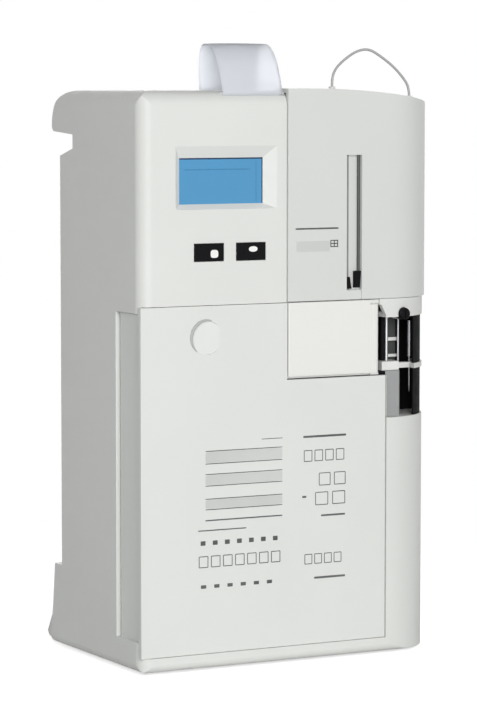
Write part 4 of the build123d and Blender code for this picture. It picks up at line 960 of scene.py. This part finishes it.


# The two pale rails on the sampler's frame, the sign on each key, the painted shade along the display's
# top and right edges and its faint lines, and the label, the small square and the line on the sensor
# door.
MARKS = (
    MarkSet(
        "sampler_rails", WHITE, "white_plastic", "cabinet", face=22.5, proud=0.15,
        bars=((208.0, 208.2, 9.6, 2.0), (208.0, 219.8, 9.6, 2.4)), corner=10.0,
    ),
    MarkSet(
        "left_key_sign", SIGN, "white_plastic", "left_key", face=-0.7, proud=0.03,
        bars=((55.2, 284.6, 5.8, 5.4),), corner=3.2,
    ),
    MarkSet(
        "right_key_sign", SIGN, "white_plastic", "right_key", face=-0.7, proud=0.03,
        bars=((84.8, 287.2, 6.6, 3.7),), corner=2.3,
    ),
    # Painted shade: dark bars along the display's top and right edges, where the pocket's rim shades the
    # glass.
    MarkSet(
        "display_painted_shade", PAINTED_SHADE, "window_glass", "cabinet", face=4.0, proud=0.04,
        bars=((62.75, 348.6, 63.5, 1.1), (94.1, 333.5, 0.8, 31.0)),
    ),
    MarkSet(
        "display_lines", FAINT, "window_glass", "cabinet", face=4.0, proud=0.04,
        bars=((60.0, 341.2, 50.0, 0.7), (89.5, 333.0, 0.5, 28.0)),
    ),
    MarkSet(
        "door_label", PALE_INK, "grey_plastic", "door", face=-1.4, proud=0.06,
        bars=(
            (131.2, 291.4, 26.4, 0.35),
            (131.2, 284.4, 26.4, 0.35),
            (118.0, 287.9, 0.35, 7.0),
            (131.2, 287.9, 26.0, 6.6),
        ),
    ),
    MarkSet(
        "door_sign", INK, "grey_plastic", "door", face=-1.4, proud=0.06,
        bars=(
            (147.6, 291.6, 6.0, 0.7),
            (147.6, 287.4, 6.0, 0.7),
            (144.9, 289.5, 0.7, 4.6),
            (150.2, 289.5, 0.7, 4.6),
            (147.6, 289.5, 0.7, 4.2),
            (147.6, 289.5, 5.6, 0.7),
            (134.0, 300.0, 33.2, 1.0),
        ),
    ),
)


@dataclass
class PackPrint:
    """The plain bars and boxes that stand for the table printed on the pack's front.

    Attributes:
        proud: how far the strokes stand out of the front, in millimetres; the fills stand out half.
        stroke: how thick a stroke is, in millimetres.
        band_edge: how far a band's fill keeps from its strokes' middles, in millimetres.
        dash_middle: the middle of a dash, as a share of the row's pitch.
        dash_width: a dash's width, as a share of the pitch.
        dash_height: a dash's height, as a share of the row's.
        box_start: a box's left edge, as a share of the pitch.
        box_end: a box's right edge, as a share of the pitch.
        rows: the rows of print.
    """

    proud: float = 0.03
    stroke: float = 0.6
    band_edge: float = 0.5
    dash_middle: float = 0.4
    dash_width: float = 0.4
    dash_height: float = 0.55
    box_start: float = 0.08
    box_end: float = 0.8
    rows: tuple[Row, ...] = (
        Row(Mark.LINE, 91.8, 108.0, 157.2, 0.5),
        Row(Mark.BAND, 48.6, 108.0, 146.7, 8.6),
        Row(Mark.BAND, 48.6, 108.0, 131.3, 7.9),
        Row(Mark.BAND, 48.6, 108.0, 114.8, 7.2),
        Row(Mark.LINE, 48.5, 108.0, 103.8, 0.9),
        Row(Mark.LINE, 43.0, 80.0, 97.0, 0.8),
        Row(Mark.DASHES, 43.0, 108.0, 88.4, 5.6, 7),
        Row(Mark.BOXES, 43.0, 108.0, 75.6, 7.4, 7),
        Row(Mark.DASHES, 43.0, 104.0, 58.6, 4.4, 6),
        Row(Mark.LINE, 124.3, 158.2, 156.9, 1.5),
        Row(Mark.BOXES, 124.4, 158.2, 143.6, 7.4, 4),
        Row(Mark.BOXES, 136.0, 160.0, 127.0, 8.4, 2),
        Row(Mark.BOXES, 133.0, 160.0, 113.6, 8.6, 2),
        Row(Mark.DASHES, 122.0, 130.0, 115.4, 2.6, 1),
        Row(Mark.LINE, 138.4, 157.5, 101.7, 1.3),
        Row(Mark.BOXES, 125.1, 156.0, 71.9, 6.6, 4),
        Row(Mark.LINE, 133.0, 157.7, 58.6, 1.5),
    )

    def _frame_bars(self, row: Row, left: float, right: float) -> list[Bar]:
        """Give the four strokes round a box.

        Args:
            row: the row that the box is in.
            left: the box's left edge.
            right: the box's right edge.

        Returns:
            Each stroke's middle and size.
        """
        middle = (left + right) / 2
        edge = row.tall / 2
        return [
            (middle, row.middle + edge, right - left, self.stroke),
            (middle, row.middle - edge, right - left, self.stroke),
            (left, row.middle, self.stroke, row.tall),
            (right, row.middle, self.stroke, row.tall),
        ]

    def _dark(self, row: Row) -> list[Bar]:
        """Give a row's dark strokes.

        Args:
            row: the row to draw.

        Returns:
            Each stroke's middle and size.
        """
        middle = (row.left + row.right) / 2
        width = row.right - row.left
        if row.kind is Mark.LINE:
            return [(middle, row.middle, width, row.tall)]
        if row.kind is Mark.BAND:
            edge = row.tall / 2
            return [(middle, row.middle + side * edge, width, self.stroke) for side in (-1, 1)]
        pitch = width / row.count
        starts = [row.left + pitch * i for i in range(row.count)]
        if row.kind is Mark.DASHES:
            size = (pitch * self.dash_width, row.tall * self.dash_height)
            return [(x + pitch * self.dash_middle, row.middle, *size) for x in starts]
        boxes = [(x + pitch * self.box_start, x + pitch * self.box_end) for x in starts]
        return [bar for box in boxes for bar in self._frame_bars(row, *box)]

    def _pale(self, row: Row) -> list[Bar]:
        """Give the pale fill of a band.

        Args:
            row: the row to draw.

        Returns:
            The fill's middle and size, or nothing for another kind of row.
        """
        if row.kind is not Mark.BAND:
            return []
        middle = (row.left + row.right) / 2
        return [(middle, row.middle, row.right - row.left, row.tall - 2 * self.band_edge)]

    def build(self) -> list[Object]:
        """Make the dark strokes and the pale fills.

        Returns:
            The two objects, riding on the pack.
        """
        dark = tuple(bar for row in self.rows for bar in self._dark(row))
        pale = tuple(bar for row in self.rows for bar in self._pale(row))
        strokes = MarkSet("pack_print_strokes", INK, "dark_plastic", "pack", 0.0, self.proud, dark)
        fills = MarkSet("pack_print_fills", PALE_INK, "dark_plastic", "pack", 0.0, self.proud / 2, pale)
        return [strokes.build(), fills.build()]


@dataclass
class ScoopShadeLip:
    """A grey lip round the upper left of the pack's thumb scoop, which tapers to both ends; its grey
    paints the shade that falls in the scoop there.

    Attributes:
        middle: the scoop's middle as x and z, in millimetres.
        radius: the lip's radius about it, in millimetres.
        start: where the lip starts, in degrees up from the right.
        end: where it ends, in degrees.
        width: how wide it is at its middle, in millimetres.
        height: how far it stands out there, in millimetres.
        sunk: how far its edges lie behind the pack's front, in millimetres.
        steps: how many rows of points it has along the arc.
        around: how many points it has over its profile.
    """

    middle: tuple[float, float] = (50.0, 228.0)
    radius: float = 11.9
    start: float = 72.0
    end: float = 232.0
    width: float = 2.4
    height: float = 1.1
    sunk: float = 0.05
    steps: int = 64
    around: int = 12

    def build(self) -> Object:
        """Make the lip as a swept half round.

        Its profile is half an ellipse, width across the face and height out of it, carried along an
        arc about the scoop's middle. Both shrink to the ends as the root of sin(pi t).

        Returns:
            The lip, riding on the pack.
        """
        t = np.linspace(0.0, 1.0, self.steps)[:, None]
        turn = np.radians(self.start + (self.end - self.start) * t)
        size = np.sqrt(np.clip(np.sin(np.pi * t), 0.0, 1.0))
        profile = np.linspace(0.0, np.pi, self.around)[None, :]
        reach = self.radius - self.width / 2 * size * np.cos(profile)
        x = self.middle[0] + reach * np.cos(turn)
        z = self.middle[1] + reach * np.sin(turn)
        y = self.sunk - (self.height * size + self.sunk) * np.sin(profile)
        points = places(x, y, z).reshape(-1, 3)
        lip = make_object("scoop_shade_lip", points, grid_faces(self.steps, self.around).tolist())
        # Painted shade: the lip is grey to stand for the shade in the scoop.
        paint(lip, SCOOP_SHADE)
        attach(lip, "pack")
        log.info("scoop lip made")
        return lip


@dataclass
class PhotoCamera:
    """The camera as the picture was taken: low, a little left of the front.

    Attributes:
        aim: the place on the cabinet that it looks at, in millimetres.
        turn: how far left of the front it stands, in degrees.
        tilt: how far it looks down, in degrees.
        distance: how far it is from its aim, in metres.
        lens: its focal length in millimetres.
        sensor: its sensor's width in millimetres.
        near: where its view starts, in metres.
        far: where its view ends, in metres.
    """

    aim: Point = (73.9, 0.0, 212.1)
    turn: float = 28.0
    tilt: float = 5.02
    distance: float = 2.146
    lens: float = 158.25
    sensor: float = 36.0
    near: float = 0.05
    far: float = 50.0

    def build(self) -> Object:
        """Place the camera.

        Returns:
            The camera, set as the scene's own.
        """
        turn, tilt = math.radians(self.turn), math.radians(self.tilt)
        level = math.cos(tilt)
        ahead = Vector((math.sin(turn) * level, math.cos(turn) * level, -math.sin(tilt)))
        data = bpy.data.cameras.new("photo_camera")
        data.sensor_width = self.sensor
        data.lens = self.lens
        data.clip_start = self.near
        data.clip_end = self.far
        camera = bpy.data.objects.new("photo_camera", data)
        camera.location = Vector(cabinet(*self.aim)) - ahead * self.distance
        camera.rotation_mode = "QUATERNION"
        camera.rotation_quaternion = ahead.to_track_quat("-Z", "Y")
        bpy.context.collection.objects.link(camera)
        bpy.context.scene.camera = camera
        return camera


@dataclass(frozen=True)
class Lamp:
    """One square soft lamp that looks at the middle of the cabinet.

    Attributes:
        name: what the lamp is called.
        place: where it hangs, in metres.
        size: the length of its sides, in metres.
        watts: its power.
        target: the place it looks at, in metres.
    """

    name: str
    place: Point
    size: float
    watts: float
    target: Point = (0.0, 0.0, 0.2)

    def build(self) -> None:
        """Hang the lamp."""
        data = bpy.data.lights.new(self.name, "AREA")
        data.size = self.size
        data.energy = self.watts
        lamp = bpy.data.objects.new(self.name, data)
        lamp.location = self.place
        lamp.rotation_mode = "QUATERNION"
        lamp.rotation_quaternion = (Vector(self.target) - Vector(self.place)).to_track_quat("-Z", "Y")
        bpy.context.collection.objects.link(lamp)


@dataclass
class Studio:
    """A pale floor, an even white surround and three soft lamps.

    Attributes:
        surround: the surround's strength at the sides.
        overhead: its strength overhead, as a share of that.
        sky: where the change between them starts and ends, from 0 at the bottom to 1 at the top.
        floor_radius: the floor's radius in metres.
        floor_tone: how pale the floor is.
        floor_roughness: how dull the floor is.
        floor_lift: how much the floor glows to the camera.
        fade: where the floor starts to fade and where it is gone, as shares of its radius.
        rings: how many rings of points the floor has.
        spokes: how many points each ring has.
        lamps: the soft lamps.
    """

    surround: float = 0.40
    overhead: float = 0.35
    sky: tuple[float, float] = (0.3, 0.9)
    floor_radius: float = 0.7
    floor_tone: float = 0.86
    floor_roughness: float = 0.9
    floor_lift: float = 0.65
    fade: tuple[float, float] = (0.3, 0.97)
    rings: int = 12
    spokes: int = 64
    lamps: tuple[Lamp, ...] = (
        Lamp("key_lamp", (-0.63, -1.72, 0.60), 0.9, 23.5),
        Lamp("fill_lamp", (1.4, -0.9, 0.6), 1.2, 2.0),
        Lamp("back_lamp", (0.5, 1.8, 0.5), 1.2, 12.0),
    )

    def _world(self) -> None:
        """Light the scene, less from overhead, and show plain white to the camera, gloss and glass."""
        world = bpy.data.worlds.new("white_surround")
        bpy.context.scene.world = world
        world.use_nodes = True
        tree = world.node_tree
        background = tree.nodes["Background"]
        background.inputs["Color"].default_value = (1.0, 1.0, 1.0, 1.0)
        path = tree.nodes.new("ShaderNodeLightPath").outputs
        clear = calculate(tree, "MAXIMUM", path["Is Camera Ray"], path["Is Transmission Ray"])
        plain = calculate(tree, "MAXIMUM", clear, path["Is Glossy Ray"])
        split = tree.nodes.new("ShaderNodeSeparateXYZ")
        where = tree.nodes.new("ShaderNodeTexCoord")
        tree.links.new(where.outputs["Generated"], split.inputs["Vector"])
        strengths = (self.surround, self.surround * self.overhead)
        light = ramp(tree, split.outputs["Z"], self.sky, strengths, smooth=True)
        strength = ramp(tree, plain, (0.0, 1.0), (light, 1.0))
        tree.links.new(strength, background.inputs["Strength"])

    def _floor_material(self) -> bpy.types.Material:
        """Make the floor's material, which fades out from its middle.

        Returns:
            The material.
        """
        material = bpy.data.materials.new("pale_floor")
        material.use_nodes = True
        tree = material.node_tree
        shader = tree.nodes["Principled BSDF"]
        shader.inputs["Base Color"].default_value = (*(self.floor_tone,) * 3, 1.0)
        shader.inputs["Roughness"].default_value = self.floor_roughness
        shader.inputs["Emission Color"].default_value = (1.0, 1.0, 1.0, 1.0)
        path = tree.nodes.new("ShaderNodeLightPath")
        lift = calculate(tree, "MULTIPLY", path.outputs["Is Camera Ray"], self.floor_lift)
        tree.links.new(lift, shader.inputs["Emission Strength"])
        reach = tree.nodes.new("ShaderNodeVectorMath")
        reach.operation = "LENGTH"
        tree.links.new(object_place(tree), reach.inputs[0])
        ends = (self.floor_radius * self.fade[0], self.floor_radius * self.fade[1])
        alpha = ramp(tree, reach.outputs["Value"], ends, (1.0, 0.0), smooth=True)
        tree.links.new(alpha, shader.inputs["Alpha"])
        return material

    def _floor(self) -> None:
        """Lay a round pale floor that fades out into the white surround."""
        radius = np.linspace(0, self.floor_radius, self.rings)[:, None]
        turn = np.linspace(0, 2 * np.pi, self.spokes, endpoint=False)[None, :]
        height = np.zeros((self.rings, self.spokes))
        points = np.stack((radius * np.cos(turn), radius * np.sin(turn), height), axis=-1)
        faces = grid_faces(self.rings, self.spokes, wrap=True)
        floor = make_object("floor", points.reshape(-1, 3), faces.tolist())
        floor.data.materials.append(self._floor_material())

    def build(self) -> None:
        """Build the surround, the floor and the lamps."""
        self._world()
        self._floor()
        for lamp in self.lamps:
            lamp.build()
        log.info("studio built")


def main() -> None:
    """Build the looks in order."""
    logging.basicConfig(level=logging.INFO, format="%(message)s")
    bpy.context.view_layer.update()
    scene = bpy.context.scene
    scene.view_settings.view_transform = "Standard"
    PhotoCamera().build()
    Studio().build()
    SampleTube().build()
    PaperSlip().build()
    dress_frame()
    PackPrint().build()
    ScoopShadeLip().build()
    for marks in MARKS:
        marks.build()


if __name__ == "__main__":
    main()
